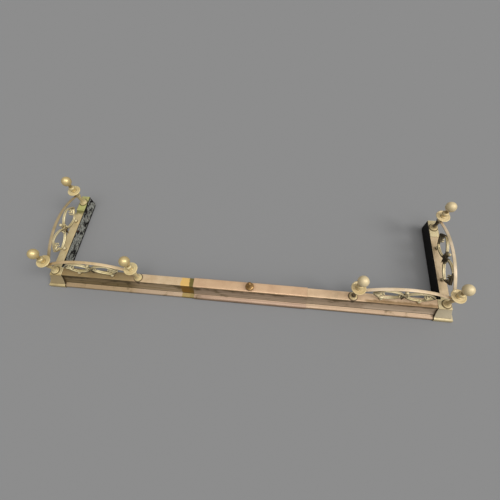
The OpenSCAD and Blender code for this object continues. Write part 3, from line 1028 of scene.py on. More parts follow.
@dataclass(frozen=True)
class TurnedBrass(Brass):
    """Lathe-turned brass: rings along its outline, a warm ball, and patina under it.

    The patina lies on the lower pillar; the neck of the ball gets painted shade in the patina's colour.
    """

    patina: str = "#6a4c22"
    tarnish: float = 0.22
    blotch: Patches = Patches(55, (0.3, 0.6), (0.6, 1.0), 4, shift=41)
    under_cap: Pair = (104 * MM, 94 * MM)
    over_foot: Pair = (58 * MM, 64 * MM)
    crown: str = "#ccb278"
    crown_z: Pair = (147 * MM, 151 * MM)
    crown_share: float = 0.7
    neck_z: float = 147.5 * MM
    neck_reach: float = 8 * MM
    neck_shade_share: float = 0.7
    ring_colour: float = 2.2
    ring_share: float = 0.14
    ring_relief: float = 5.0
    ring_depth: float = 0.012 * MM
    swell: Bumps = Bumps(150, 0.1 * MM, 3, 2)

    def wear(self, recipe: Recipe) -> None:
        """Adds the turning rings, the colour of the ball, the patina and the painted shade on the neck.

        Args:
            recipe: The material in the making.
        """
        rings = recipe.ramp(self.rings(recipe, self.ring_colour), 0.4, 0.7, 0, self.ring_share)
        recipe.lay(rings, self.dull)
        z = recipe.axis("Z")
        recipe.lay(recipe.ramp(z, *self.crown_z, 0, self.crown_share), self.crown)
        over_foot = recipe.ramp(z, *self.over_foot, 0.05, 1)
        low = recipe.product(recipe.ramp(z, *self.under_cap), over_foot, self.tarnish)
        # Painted shade on the neck under the ball.
        at_neck = recipe.near(z, self.neck_z, self.neck_reach)
        neck = recipe.ramp(at_neck, 0, 0.6, 0, self.neck_shade_share)
        recipe.lay(recipe.product(recipe.most(low, neck), recipe.patches(self.blotch)), self.patina)

    def rings(self, recipe: Recipe, scale: float) -> Socket:
        """Noise that only changes along the outline, so it makes rings round the piece.

        Args:
            recipe: The material in the making.
            scale: Number of rings in a millimetre.

        Returns:
            A number about 0.5.
        """
        girth = recipe.add("ShaderNodeCombineXYZ")
        recipe.put(girth.inputs["X"], recipe.kept("girth"))
        return recipe.noise(scale, vector=girth.outputs[0])

    def surface(self, recipe: Recipe) -> Socket:
        """Fine turning rings over slight dents."""
        rings = self.rings(recipe, self.ring_relief)
        return recipe.relief(rings, self.ring_depth, recipe.bumps(self.swell))


@dataclass(frozen=True)
class ScrollBrass(Brass):
    """Cast ornament, painted lighter on top and dark at its sides, with painted highlights on its ridges,
    dirt and painted shade in its recesses, and polish at its feet and crest.
    """

    high: str = "#f4e6bc"
    side: str = "#3e301c"
    painted_light_turn: Pair = (0.22, 0.72)
    painted_highlight_ridges: Pair = (0.5, 0.55)
    grooves_grime_and_shade: Pair = (0.495, 0.455)
    deep_grime_and_shade_over: float = 0.8
    foot_polish: float = 0.85
    foot_z: Pair = (64 * MM, 60.5 * MM)
    crest_z: Pair = (105 * MM, 108 * MM)
    fine: Bumps = Bumps(800, 0.05 * MM, 4, 1)

    def wear(self, recipe: Recipe) -> None:
        """Paints light and shade by the way the surface faces and by its curvature, and dirt and painted
        shade in its knot, drop and leaves.

        Args:
            recipe: The material in the making.
        """
        # Painted light: the surface is lighter where it faces up and dark at its sides.
        recipe.colour = recipe.mix(
            recipe.ramp(recipe.facing("Z"), *self.painted_light_turn), self.side, recipe.colour
        )
        point = recipe.add("ShaderNodeNewGeometry").outputs["Pointiness"]
        # Painted highlights on the ridges, and dirt and painted shade in the grooves.
        recipe.lay(recipe.ramp(point, *self.painted_highlight_ridges, 0, 0.7), self.high)
        recipe.add_grime_and_shade(recipe.ramp(point, *self.grooves_grime_and_shade, 0, 0.95))
        z = recipe.axis("Z")
        foot = recipe.ramp(z, *self.foot_z, 0, self.foot_polish)
        crest = recipe.ramp(z, *self.crest_z, 0, self.foot_polish / 2)
        polished = recipe.most(foot, crest)
        recipe.lay(polished, self.high)
        recipe.grime_and_shade = recipe.product(recipe.grime_and_shade, recipe.rest(polished))
        # Dirt and painted shade in the knot, drop and leaves.
        recipe.add_grime_and_shade(recipe.ramp(recipe.kept("deep"), self.deep_grime_and_shade_over - 0.15, self.deep_grime_and_shade_over, 0, 0.86))

    def surface(self, recipe: Recipe) -> Socket:
        """The skin of a small casting."""
        return recipe.bumps(self.fine)


@dataclass(frozen=True)
class PeelingPaint(Finish):
    """Old black paint on iron, peeling to grey primer and rust on the left return.

    A sound place is an axis, where the paint starts to hold and where it holds fully.
    """

    paint: str = "#141211"
    worn_paint: str = "#35312d"
    primer: str = "#b2b3a8"
    dark_primer: str = "#6c6c66"
    rust: str = "#5a3a2c"
    strokes: Patches = Patches(340, (0.3, 0.7), (-0.09, 0.08), 4, (1, 0.3, 0.7), 19)
    drifts: Patches = Patches(13, (0.35, 0.65), (-0.06, 0.07))
    tone: Patches = Patches(300, (0.35, 0.65), (0, 1), 4, (1, 0.4, 0.7), 7)
    rusty: Patches = Patches(60, (0.58, 0.68), (0, 1), 4, shift=13)
    worn: Patches = Patches(240, (0.5, 0.8))
    sound: tuple[tuple[str, float, float], ...] = (
        ("X", -520 * MM, -500 * MM), ("Z", 9 * MM, 3 * MM), ("Z", 45 * MM, 48 * MM),
    )
    bare_over: Pair = (0.395, 0.46)
    coat: float = 0.3 * MM

    def cook(self, recipe: Recipe) -> None:
        """Wires the paint, the bare patches and the rims of the flakes.

        Args:
            recipe: The material in the making.
        """
        flakes = recipe.noise(95, 6, (1, 0.4, 0.8), 3)
        torn = recipe.maths("ADD", flakes, recipe.patches(self.strokes), recipe.patches(self.drifts))
        for letter, start, stop in self.sound:
            torn = recipe.maths("ADD", torn, recipe.ramp(recipe.axis(letter), start, stop, 0, -0.4))
        bare = recipe.ramp(torn, *self.bare_over)
        under = recipe.mix(recipe.patches(self.tone), self.primer, self.dark_primer)
        under = recipe.mix(recipe.patches(self.rusty), under, self.rust)
        coat = recipe.mix(recipe.patches(self.worn), self.paint, self.worn_paint)
        recipe.shade("Base Color", recipe.mix(bare, coat, under))
        recipe.shade("Roughness", recipe.ramp(bare, 0.0, 1.0, 0.55, 0.85))
        recipe.shade("Specular IOR Level", 0.15)
        grain = recipe.bumps(Bumps(500, 0.08 * MM))
        recipe.shade("Normal", recipe.relief(recipe.rest(bare), self.coat, grain))


@dataclass(frozen=True)
class DullSteel(Finish):
    """Plain steel of rods, nuts and screws, with a little rust."""

    steel: str = "#8b8880"
    rust: str = "#5b3b26"
    rusty: Patches = Patches(180, (0.5, 0.66), (0, 0.8), 4)
    rough: Patches = Patches(300, (0.3, 0.7), (0.35, 0.7))
    fine: Bumps = Bumps(900, 0.05 * MM)

    def cook(self, recipe: Recipe) -> None:
        """Wires grey metal with rust in drifts.

        Args:
            recipe: The material in the making.
        """
        rusty = recipe.patches(self.rusty)
        recipe.shade("Base Color", recipe.mix(rusty, self.steel, self.rust))
        recipe.shade("Metallic", recipe.maths("SUBTRACT", 0.95, rusty))
        recipe.shade("Roughness", recipe.patches(self.rough))
        recipe.shade("Normal", recipe.bumps(self.fine))


SLEEVE = SheetBrass(
    "sleeve_brass", "sleeve_brass", rubbed="#dfc0a2", dull="#cfae92", grain=Grain.ALONG_X,
    cove="#98836f", ledge="#836c5c", stain="#57461f", top_stain=0.1,
)
RAIL_X = ShadedBrass(
    "rail_brass_front", "rail_brass", rubbed="#e9cfb1", dull="#d8bc9e", grain=Grain.ALONG_X,
    cove="#a8917a", ledge="#8c745c",
)
RAIL_Y = SheetBrass(
    "rail_brass_return", "rail_brass", rubbed="#eedbbe", dull="#d8c4a2", grain=Grain.ALONG_Y,
    top_stain=0.35,
)
RAIL_GREEN_END = GreenEndedBrass(
    "rail_brass_green_end", "rail_brass", rubbed="#ecdcb8", dull="#d6c49e", grain=Grain.ALONG_Y,
    top_stain=0.3,
)
RAIL_DRAWN = DrawnOutBrass(
    "rail_brass_drawn_out", "rail_brass", rubbed="#e4ceb4", dull="#d2b99c", grain=Grain.ALONG_X,
    cove="#8a744e", ledge="#a89078", top_stain=0.4,
)
CAST = CastBrass(
    "cast_brass", "cast_brass", rubbed="#dccba2", dull="#bfae86", rough=(0.44, 0.6), metal=0.3,
    golden="#e8dcbe", pale="#fffaf2",
)
GREENED = GreenedBrass(
    "verdigris_brass", "verdigris_brass", rubbed="#d2c48e", dull="#aa9c62", metal=0.15,
    rough=(0.55, 0.75),
)
TURNED = TurnedBrass(
    "turned_brass", "turned_brass", rubbed="#f0e2ba", dull="#decb9c", rough=(0.42, 0.56),
    metal=0.2, hollow=5.5 * MM, crevice_grime_and_shade=0.95,
)
BALL = replace(TURNED, name="ball_brass", metal=0.5, rough=(0.34, 0.46), crown="#dcc286")
MATT_BALL = replace(TURNED, name="ball_brass_matt", metal=0.28, rough=(0.48, 0.6), crown="#e8d4aa")
# Patina and painted shade for the right arm's inner and back pillars.
TARNISHED_SHADED = replace(TURNED, name="turned_brass_tarnished_shaded", patina="#2c1c0a", tarnish=1.0)
KNOB = TurnedBrass(
    "knob_brass", "turned_brass", rubbed="#cca874", dull="#8c6a3a", rough=(0.28, 0.4), metal=0.5,
    hollow=7 * MM, crevice_grime_and_shade=0.95,
)
STRAP_X = Brass(
    "strap_brass_front", "strap_brass", rubbed="#f6e6d0", dull="#dcc8aa", grain=Grain.ALONG_X,
    golden="#e6d9bc",
)
STRAP_Y = Brass(
    "strap_brass_return", "strap_brass", rubbed="#e4d4be", dull="#c4b69c", grain=Grain.ALONG_Y,
    golden="#cec4a8",
)
SCROLL = ScrollBrass(
    "scroll_brass", "scroll_brass", rubbed="#fcf0cc", dull="#e0d0a0", rough=(0.36, 0.5), metal=0.4,
    hollow=3 * MM, crevice_grime_and_shade=0.95,
)
# Lit and shaded copies of the scroll: painted light on the left return's sides, painted shade on the right
# return's.
SCROLL_LIT = replace(SCROLL, name="scroll_brass_painted_lit", side="#9a8458")
SCROLL_SHADED = replace(
    SCROLL, name="scroll_brass_painted_shade", side="#3a2e1e", deep_grime_and_shade_over=0.45, foot_polish=0.3
)
IRON = PeelingPaint("black_iron", "black_iron")
STEEL = DullSteel("dull_steel", "steel")


@dataclass(frozen=True)
class Wear:
    """The finishes in which the two arms differ, and the places of the pillars with patina and painted
    shade.
    """

    front_rail: Finish
    return_rail: Finish
    end_casting: Finish
    ball: Finish
    return_scroll: Finish
    tarnished: tuple[str, ...] = ()


WEAR = {
    Side.LEFT: Wear(RAIL_DRAWN, RAIL_GREEN_END, GREENED, BALL, SCROLL_LIT),
    Side.RIGHT: Wear(RAIL_X, RAIL_Y, CAST, MATT_BALL, SCROLL_SHADED, ("inner", "back")),
}


# ----------------------------------------------------------------- delivering


def deliver(
    mesh: bpy.types.Mesh, node: str, body: str, finish: Finish, where: Matrix | None = None,
    sharp: float = 35.0,
) -> None:
    """Makes a finished piece of a mesh, in place of a CAD node.

    Its object sits at the origin, with its place in its mesh.

    Args:
        mesh: The piece's shape.
        node: The CAD node that it stands for.
        body: The body that it rides on.
        finish: Its finish.
        where: What takes the mesh to its place in the frame.
        sharp: Angle between faces, in degrees, above which an edge stays sharp.
    """
    if where is not None:
        mesh.transform(where)
        if where.determinant() < 0:
            mesh.flip_normals()
    mesh.shade_smooth()
    mesh.set_sharp_from_angle(angle=math.radians(sharp))
    mesh.materials.clear()
    mesh.materials.append(finish.material())
    piece = bpy.data.objects.new(f"{node}_brass", mesh)
    bpy.context.scene.collection.objects.link(piece)
    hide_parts(node)
    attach(piece, body)
    LOG.info("%s: %d faces on %s", piece.name, len(mesh.polygons), body)


def middle(node: str) -> Vector:
    """The middle of a CAD node's box."""
    low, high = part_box(node)
    return (low + high) / 2


@dataclass
class Arm:
    """One arm of the fender and where its places are, read from the frame."""

    side: Side
    corner: Vector = field(init=False)

    def __post_init__(self) -> None:
        """Finds the axis of the corner pillar."""
        self.corner = middle(self.node("corner_pillar"))
        self.corner.z = 0.0

    @property
    def wear(self) -> Wear:
        """The finishes that are this arm's own."""
        return WEAR[self.side]

    def node(self, part: str) -> str:
        """The name of one of this arm's nodes."""
        return f"{self.side.word}_{part}"

    def deliver(
        self, mesh: bpy.types.Mesh, part: str, finish: Finish, where: Matrix, sharp: float = 35.0,
    ) -> None:
        """Makes a piece that rides on this arm, as deliver does."""
        deliver(mesh, self.node(part), f"{self.side.word}_arm", finish, where, sharp)

    def axes(self, run: Run) -> Matrix:
        """Finds the arm's own axes along one run.

        Args:
            run: The run.

        Returns:
            What takes them to the frame.
        """
        sign = self.side.value
        outwards, along = (
            (Vector((0, -1, 0)), Vector((-sign, 0, 0))) if run is Run.FRONT
            else (Vector((sign, 0, 0)), Vector((0, 1, 0)))
        )
        turned = Matrix((outwards, along, Vector((0, 0, 1)))).transposed().to_4x4()
        return Matrix.Translation(self.corner) @ turned

    def reach(self, run: Run, point: Vector) -> float:
        """How far along a run a point of the frame lies."""
        return (self.axes(run).inverted() @ point).y

    def ends(self, run: Run, part: str) -> list[float]:
        """How far along a run a node starts and ends."""
        return sorted(self.reach(run, corner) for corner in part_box(self.node(part)))


# ------------------------------------------------------------------------ kerb


@dataclass(frozen=True)
class Moulding:
    """The section of a kerb piece, measured outwards from the pillar line and up from the floor.

    The middle of the cove's arc lies at its start plus the rise, so more rise makes it flatter.
    """

    top_half: float
    top_z: float
    arris: float
    cove_z: float
    foot: float
    foot_z: float
    nose: float
    nose_z: float
    nose_r: float
    back: float
    hem_z: float
    flange: float = 0.0
    bend: float = 1.2 * MM
    rise: float = 0.0
    ledge_angle: float = math.radians(15)
    quirk: float = 0.9 * MM

    def draw(self, bm: BMesh, grow: float = 0.0) -> Outline:
        """Draws the section from its back edge over the top to its hem.

        Args:
            bm: The mesh to draw in.
            grow: Distance by which the outline moves outwards.

        Returns:
            The outline.
        """
        pen = self.top(bm, grow)
        self.cove(pen, grow)
        foot = self.foot + grow
        middle_x, round_r = self.nose - self.nose_r, self.nose_r + grow
        brow_x = middle_x + round_r * math.sin(self.ledge_angle)
        brow_z = self.nose_z + round_r * math.cos(self.ledge_angle)
        ledge_z = brow_z + (brow_x - foot) * math.tan(self.ledge_angle)
        foot_z = pen.verts[-1].co.z
        pen.line(foot - self.quirk, foot_z - 0.4 * (foot_z - ledge_z), QUIRK - 0.03)
        pen.line(foot - self.quirk, ledge_z + 0.4 * MM, QUIRK + 0.02)
        pen.line(foot + 0.3 * MM, ledge_z - 0.1 * MM, QUIRK + 0.06)
        pen.line((foot + brow_x) / 2, (ledge_z + brow_z) / 2, (QUIRK + BROW) / 2)
        pen.line(brow_x, brow_z, BROW)
        pen.arc(middle_x, self.nose_z, 90 - math.degrees(self.ledge_angle), 7, NOSE)
        return pen.line(self.nose + grow, self.hem_z, HEM)

    def top(self, bm: BMesh, grow: float) -> Outline:
        """Draws the back flange if there is one, the flat top and its outer arris.

        Args:
            bm: The mesh to draw in.
            grow: Distance by which the outline moves outwards.

        Returns:
            The outline so far.
        """
        top_o, top, arris = self.top_half + grow, self.top_z + grow, self.arris + grow
        if self.flange:
            pen = Outline(bm, self.back, top - self.flange)
            pen.line(self.back, top - self.bend).arc(self.back + self.bend, top - self.bend, 90, 4)
        else:
            pen = Outline(bm, self.back, top)
        for share in (0.35, 0.7):
            pen.line(self.back + share * (top_o - self.back), top, share)
        pen.line(top_o - arris, top, TOP_EDGE - 0.04)
        return pen.arc(top_o - arris, top - arris, 90, 4, TOP_EDGE + 0.04)

    def cove(self, pen: Outline, grow: float) -> None:
        """Draws the hollow cove from under the arris down to its foot.

        Args:
            pen: The outline so far.
            grow: Distance by which the outline moves outwards.
        """
        width, height = self.foot - self.top_half, self.cove_z - self.foot_z
        far = (width**2 + height**2 + 2 * height * self.rise) / (2 * width)
        radius = math.hypot(far, self.rise)
        lean = math.acos((self.top_half + far - self.foot - grow) / (radius - grow))
        lean -= math.asin(self.rise / radius)
        pen.line(self.top_half + grow, self.cove_z, TOP_EDGE + 0.06)
        pen.arc(self.top_half + far, self.cove_z + self.rise, -math.degrees(lean), 12, QUIRK - 0.1)


RAIL = Moulding(
    top_half=13.3 * MM, top_z=50.5 * MM, arris=2 * MM, cove_z=48 * MM, foot=22 * MM, foot_z=17 * MM,
    nose=35 * MM, nose_z=7 * MM, nose_r=3 * MM, back=-13.3 * MM, hem_z=2 * MM,
)
CASTING = Moulding(
    top_half=15.3 * MM, top_z=52 * MM, arris=1.6 * MM, cove_z=49.5 * MM, foot=30.5 * MM,
    foot_z=16.5 * MM, nose=37 * MM, nose_z=10.5 * MM, nose_r=3.5 * MM, back=-13.3 * MM, hem_z=0.0,
    rise=40 * MM, quirk=0.6 * MM,
)
SIDE_SPREAD = 0.74


def draw_in(bm: BMesh, run: Run, edge: float) -> None:
    """Draws the spread of the return in, for a piece drawn along either run of a corner.

    Args:
        bm: The mesh, in the axes of the run.
        run: The run that it is drawn along.
        edge: How far out the top of its moulding reaches.
    """
    for vert in bm.verts:
        out = vert.co.x if run is Run.RETURN else -vert.co.y
        if out > edge:
            out = edge + SIDE_SPREAD * (out - edge)
            if run is Run.RETURN:
                vert.co.x = out
            else:
                vert.co.y = -out


@dataclass
class KerbSheet:
    """The brass sheet over one run of an arm, mitred at the corner."""

    arm: Arm
    run: Run
    finish: Finish
    sheet: float = 1.2 * MM
    step: float = 9 * MM
    swell: float = 0.12 * MM
    swell_length: float = 45 * MM

    def build(self) -> None:
        """Sweeps the moulding, cuts the mitre and gives the sheet its thickness."""
        part = f"{self.run.value}_rail"
        start, stop = -2 * RAIL.nose, self.arm.ends(self.run, part)[1]
        bm = bmesh.new()
        RAIL.draw(bm)
        sweep(bm, stop - start, round((stop - start) / self.step))
        bmesh.ops.translate(bm, vec=(0, start, 0), verts=bm.verts)
        mitre(bm)
        draw_in(bm, self.run, RAIL.top_half)
        face_up(bm)
        ripple(bm, self.swell, self.swell_length)
        bmesh.ops.solidify(bm, geom=bm.faces, thickness=self.sheet)
        self.arm.deliver(to_mesh(bm, part), part, self.finish, self.arm.axes(self.run))


@dataclass
class Casting:
    """A cast cap over the kerb: drawn as the space between its own moulding and the rail's."""

    arm: Arm
    clear: float = 0.3 * MM
    edge: float = 0.45 * MM
    wall: float = 2.5 * MM
    wall_clear: float = 0.2 * MM
    web: float = 1.8 * MM
    web_turn: float = 11 * MM
    sharp: float = 28.0

    def prism(self, bm: BMesh, start: float, length: float) -> None:
        """Draws the closed section of the wall and extrudes it along the kerb.

        Args:
            bm: The mesh.
            start: Where along the kerb it starts.
            length: How far it goes.
        """
        outer = CASTING.draw(bm)
        inner = replace(RAIL, hem_z=0.0).draw(bm, self.clear)
        for end in (0, -1):
            bm.edges.new((outer.verts[end], inner.verts[end]))
        extrude(bm, start, length)

    def finish(self, bm: BMesh, part: str, run: Run, finish: Finish) -> None:
        """Draws the return side in, rounds the edges and delivers the casting.

        Args:
            bm: The mesh.
            part: The part's name.
            run: The run that it is drawn along.
            finish: Its finish.
        """
        bmesh.ops.recalc_face_normals(bm, faces=bm.faces)
        draw_in(bm, run, CASTING.top_half)
        soften(bm, sharp_edges(bm), self.edge)
        self.arm.deliver(to_mesh(bm, part), part, finish, self.arm.axes(run), self.sharp)

    def corner(self) -> None:
        """Builds the corner: one leg cut at the mitre, and its mirror image across it."""
        reach = self.arm.ends(Run.FRONT, "corner_casting")[1]
        bm = bmesh.new()
        self.prism(bm, -2 * CASTING.nose, 2 * CASTING.nose + reach)
        mitre(bm)
        across = Matrix(((0, -1, 0, 0), (-1, 0, 0, 0), (0, 0, 1, 0), (0, 0, 0, 1)))
        copy = bmesh.ops.duplicate(bm, geom=everything(bm))["geom"]
        bmesh.ops.transform(bm, matrix=across, verts=only(copy, BMVert))
        bmesh.ops.reverse_faces(bm, faces=only(copy, BMFace))
        bmesh.ops.remove_doubles(bm, verts=bm.verts, dist=SAME_SPOT)
        self.finish(bm, "corner_casting", Run.FRONT, CAST)

    def end(self) -> None:
        """Builds the end cap of a return, closed at the back by a wall that stops at the web."""
        start, stop = self.arm.ends(Run.RETURN, "end_casting")
        bm = bmesh.new()
        self.prism(bm, start, stop - start)
        plug = bmesh.new()
        web = RAIL.back + self.web
        section = replace(RAIL, hem_z=0.0, quirk=0.0, back=web)
        pen = section.draw(plug, self.clear + self.wall_clear).line(web + self.web_turn, 0.0)
        pen.arc(web + self.web_turn, self.web_turn, 90, 6).close()
        extrude(plug, stop - self.wall, self.wall)
        bm.from_mesh(to_mesh(plug, "end_wall"))
        self.finish(bm, "end_casting", Run.RETURN, self.arm.wear.end_casting)

    def build(self) -> None:
        """Builds both castings of the arm."""
        self.corner()
        self.end()


# ---------------------------------------------------------------------- sleeve


@dataclass(frozen=True)
class Knob:
    """The knob's outline: foot, mushroom disc, hollow neck and bead."""

    foot_r: float = 7.6 * MM
    foot_roll: float = 1.0 * MM
    root: Points = ((7.2, 2.6),)
    disc_x: float = 9.5 * MM
    disc_z: float = 6.5 * MM
    disc_r: float = 3.5 * MM
    neck_r: float = 4 * MM
    neck_z: float = 20 * MM
    bead_r: float = 6.3 * MM
    bead_z: float = 26 * MM

    def draw(self, bm: BMesh) -> None:
        """Draws the outline from the middle of the foot to the pole of the bead.

        Args:
            bm: The mesh to draw in.
        """
        pen = Outline(bm, 0, 0).line(self.foot_r, 0).arc(self.foot_r, self.foot_roll, -180, 6)
        pen.points(self.root).line(self.disc_x, self.disc_z - self.disc_r)
        pen.arc(self.disc_x, self.disc_z, -165, 14).trumpet(self.neck_r, self.neck_z, 12)
        pen.globe(self.neck_r, self.bead_z, self.bead_r, 18)


@dataclass
class Sleeve:
    """The middle sleeve: brass cover, knob and the rivets of its back flange."""

    body: str = "sleeve"
    grow: float = 1.5 * MM
    sheet: float = 1.0 * MM
    flange: float = 10 * MM
    back: float = -15.4 * MM
    steps: int = 42
    swell: float = 0.1 * MM
    swell_length: float = 60 * MM
    rivet_count: int = 5
    rivet_r: float = 3 * MM
    rivet_sink: float = 1.1 * MM
    rivet_flat: float = 0.366

    def cover(self) -> None:
        """Sweeps the cover over the arms' moulding, grown by the running gap and the sheet."""
        low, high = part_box("sleeve_cover")
        bm = bmesh.new()
        replace(RAIL, back=self.back, hem_z=0.0, flange=self.flange).draw(bm, self.grow)
        sweep(bm, high.x - low.x, self.steps)
        face_up(bm)
        ripple(bm, self.swell, self.swell_length)
        bmesh.ops.solidify(bm, geom=bm.faces, thickness=self.sheet)
        for vert in bm.verts:
            vert.co.z = max(vert.co.z, 0.0)
        turned = Matrix(((0, 1, 0), (-1, 0, 0), (0, 0, 1))).to_4x4()
        where = Matrix.Translation((low.x, middle("centre_knob").y, 0)) @ turned
        deliver(to_mesh(bm, "sleeve_cover"), "sleeve_cover", self.body, SLEEVE, where)

    def knob(self) -> None:
        """Turns the knob where its CAD node stands."""
        axis, (low, _) = middle("centre_knob"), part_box("centre_knob")
        bm = bmesh.new()
        Knob().draw(bm)
        turn(bm, 64)
        where = Matrix.Translation((axis.x, axis.y, low.z))
        deliver(to_mesh(bm, "centre_knob"), "centre_knob", self.body, KNOB, where)

    def rivets(self) -> None:
        """Sets a row of domed rivets along the back flange."""
        low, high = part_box("sleeve_rivets")
        cover_low, cover_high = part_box("sleeve_cover")
        pitch = (cover_high.x - cover_low.x) / self.rivet_count
        dome = Matrix.Translation((0, 0, -self.rivet_sink)) @ Matrix.Diagonal((1, 1, self.rivet_flat, 1))
        bm = bmesh.new()
        for index in range(self.rivet_count):
            spot = (cover_low.x + pitch * (index + 0.5), high.y, (low.z + high.z) / 2)
            stand = Matrix.Translation(spot) @ Matrix.Rotation(math.radians(-90), 4, "X")
            bmesh.ops.create_uvsphere(
                bm, u_segments=24, v_segments=12, radius=self.rivet_r, matrix=stand @ dome
            )
        deliver(to_mesh(bm, "sleeve_rivets"), "sleeve_rivets", self.body, TURNED)

    def build(self) -> None:
        """Builds every piece of the sleeve."""
        self.cover()
        self.knob()
        self.rivets()


# --------------------------------------------------------------------- finials


@dataclass(frozen=True)
class Pillar:
    """A lower pillar's outline: round foot, trumpet, astragal, collar and cap.

    The roots and the collar are points in millimetres.
    """

    foot_r: float = 12 * MM
    roll: float = 2.4 * MM
    root: Points = ((9.1, 4.2), (9.3, 5.2))
    neck_r: float = 5.3 * MM
    neck_rise: float = 18 * MM
    ring_rise: float = 33 * MM
    ring_r: float = 1.3 * MM
    collar_from: Points = ((5.3, 91.0), (6.2, 91.4))
    collar_x: float = 6.1 * MM
    collar_z: float = 93.8 * MM
    cap_from: Points = ((6.4, 96.3), (7.5, 96.6))
    cap_r: float = 7.5 * MM

    def draw(self, bm: BMesh, low: float, high: float) -> None:
        """Draws the outline, with a spigot down through the casting where the CAD node has one.

        Args:
            bm: The mesh to draw in.
            low: Height of its underside.
            high: Height of its top.
        """
        floor = CASTING.top_z
        pen = Outline(bm, 0, low).line(self.foot_r, low)
        if low < floor:
            pen.line(self.foot_r, floor)
        pen.line(self.foot_r, floor + self.roll).arc(self.foot_r - self.roll, floor + self.roll, -100, 8)
        pen.points(self.root, floor).trumpet(self.neck_r, floor + self.neck_rise, 14)
        ring_z = floor + self.ring_rise
        pen.line(self.neck_r, ring_z - self.ring_r).arc(self.neck_r, ring_z, -180, 8)
        pen.points(self.collar_from).arc(self.collar_x, self.collar_z, -180, 10)
        pen.points(self.cap_from).line(self.cap_r, high).line(0, high)


@dataclass(frozen=True)
class Saucer:
    """A saucer's outline: foot, trumpet underside, round rim and dished top.

    The dish is points in millimetres, measured up from the top of the rim.
    """

    foot_r: float = 8.6 * MM
    foot_height: float = 3 * MM
    chamfer: float = 0.5 * MM
    throat_r: float = 7.5 * MM
    rim_r: float = 20.7 * MM
    edge: float = 1.8 * MM
    dish: Points = (
        (17.4, -0.6), (14, -1.3), (11, -1.55), (9, -1.6), (0, -1.6),
    )

    def draw(self, bm: BMesh, low: float, high: float) -> None:
        """Draws the outline.

        Args:
            bm: The mesh to draw in.
            low: Height of its underside.
            high: Height of its rim's top.
        """
        foot_r, cut, foot_z = self.foot_r, self.chamfer, low + self.foot_height
        pen = Outline(bm, 0, low).line(foot_r - cut, low).line(foot_r, low + cut)
        pen.line(foot_r, foot_z - cut).line(foot_r - cut, foot_z).line(self.throat_r, foot_z)
        rim_x, rim_z = self.rim_r - self.edge, high - self.edge
        pen.trumpet(rim_x, rim_z - self.edge, 16, flare=True)
        pen.arc(rim_x, rim_z, -200, 12).points(self.dish, high)


@dataclass(frozen=True)
class Ball:
    """A ball's outline, on its neck, ring bead and flange. The stem is points in millimetres."""

    radius: float = 15.5 * MM
    neck_r: float = 5 * MM
    neck_rise: float = 0.6 * MM
    flange_x: float = 7.4 * MM
    flange_r: float = 8 * MM
    flange_z: Pair = (0.6 * MM, 1.6 * MM)
    stem: Points = ((6.2, 2.6), (5.6, 6.5), (6.4, 8.6))
    bead_x: float = 3.8 * MM
    bead_z: float = 14.6 * MM
    bead_turn: float = 117.3355

    def draw(self, bm: BMesh, low: float, high: float) -> None:
        """Draws the outline.

        Args:
            bm: The mesh to draw in.
            low: Height of its underside.
            high: Height of the ball's pole.
        """
        under, over = low + self.flange_z[0], low + self.flange_z[1]
        pen = Outline(bm, 0, low).line(self.flange_x, low).arc(self.flange_x, under, -90, 3)
        pen.line(self.flange_r, over).arc(self.flange_x, over, -90, 3)
        pen.points(self.stem, low).arc(self.bead_x, low + self.bead_z, -self.bead_turn, 14)
        pen.line(self.neck_r, pen.verts[-1].co.z + self.neck_rise)
        pen.globe(self.neck_r, high - self.radius, self.radius, 40)


@dataclass
class Finial:
    """One turned finial of an arm: lower pillar, saucer and ball."""

    arm: Arm
    place: str
    sharp: float = 40.0

    def stand(self, part: str, shape: Pillar | Saucer | Ball, finish: Finish) -> None:
        """Turns one piece on the axis of its CAD node.

        Args:
            part: The part's name, such as "saucer".
            shape: Its outline.
            finish: Its finish.
        """
        part = f"{self.place}_{part}"
        node = self.arm.node(part)
        low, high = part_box(node)
        axis = middle(node)
        bm = bmesh.new()
        shape.draw(bm, low.z, high.z)
        turn(bm)
        where = Matrix.Translation((axis.x, axis.y, 0))
        self.arm.deliver(to_mesh(bm, node), part, finish, where, self.sharp)

    def build(self) -> None:
        """Builds the three pieces of the finial."""
        wear = self.arm.wear
        self.stand("pillar", Pillar(), TARNISHED_SHADED if self.place in wear.tarnished else TURNED)
        self.stand("saucer", Saucer(), TURNED)
        self.stand("ball", Ball(), wear.ball)


# ------------------------------------------------------------------- galleries


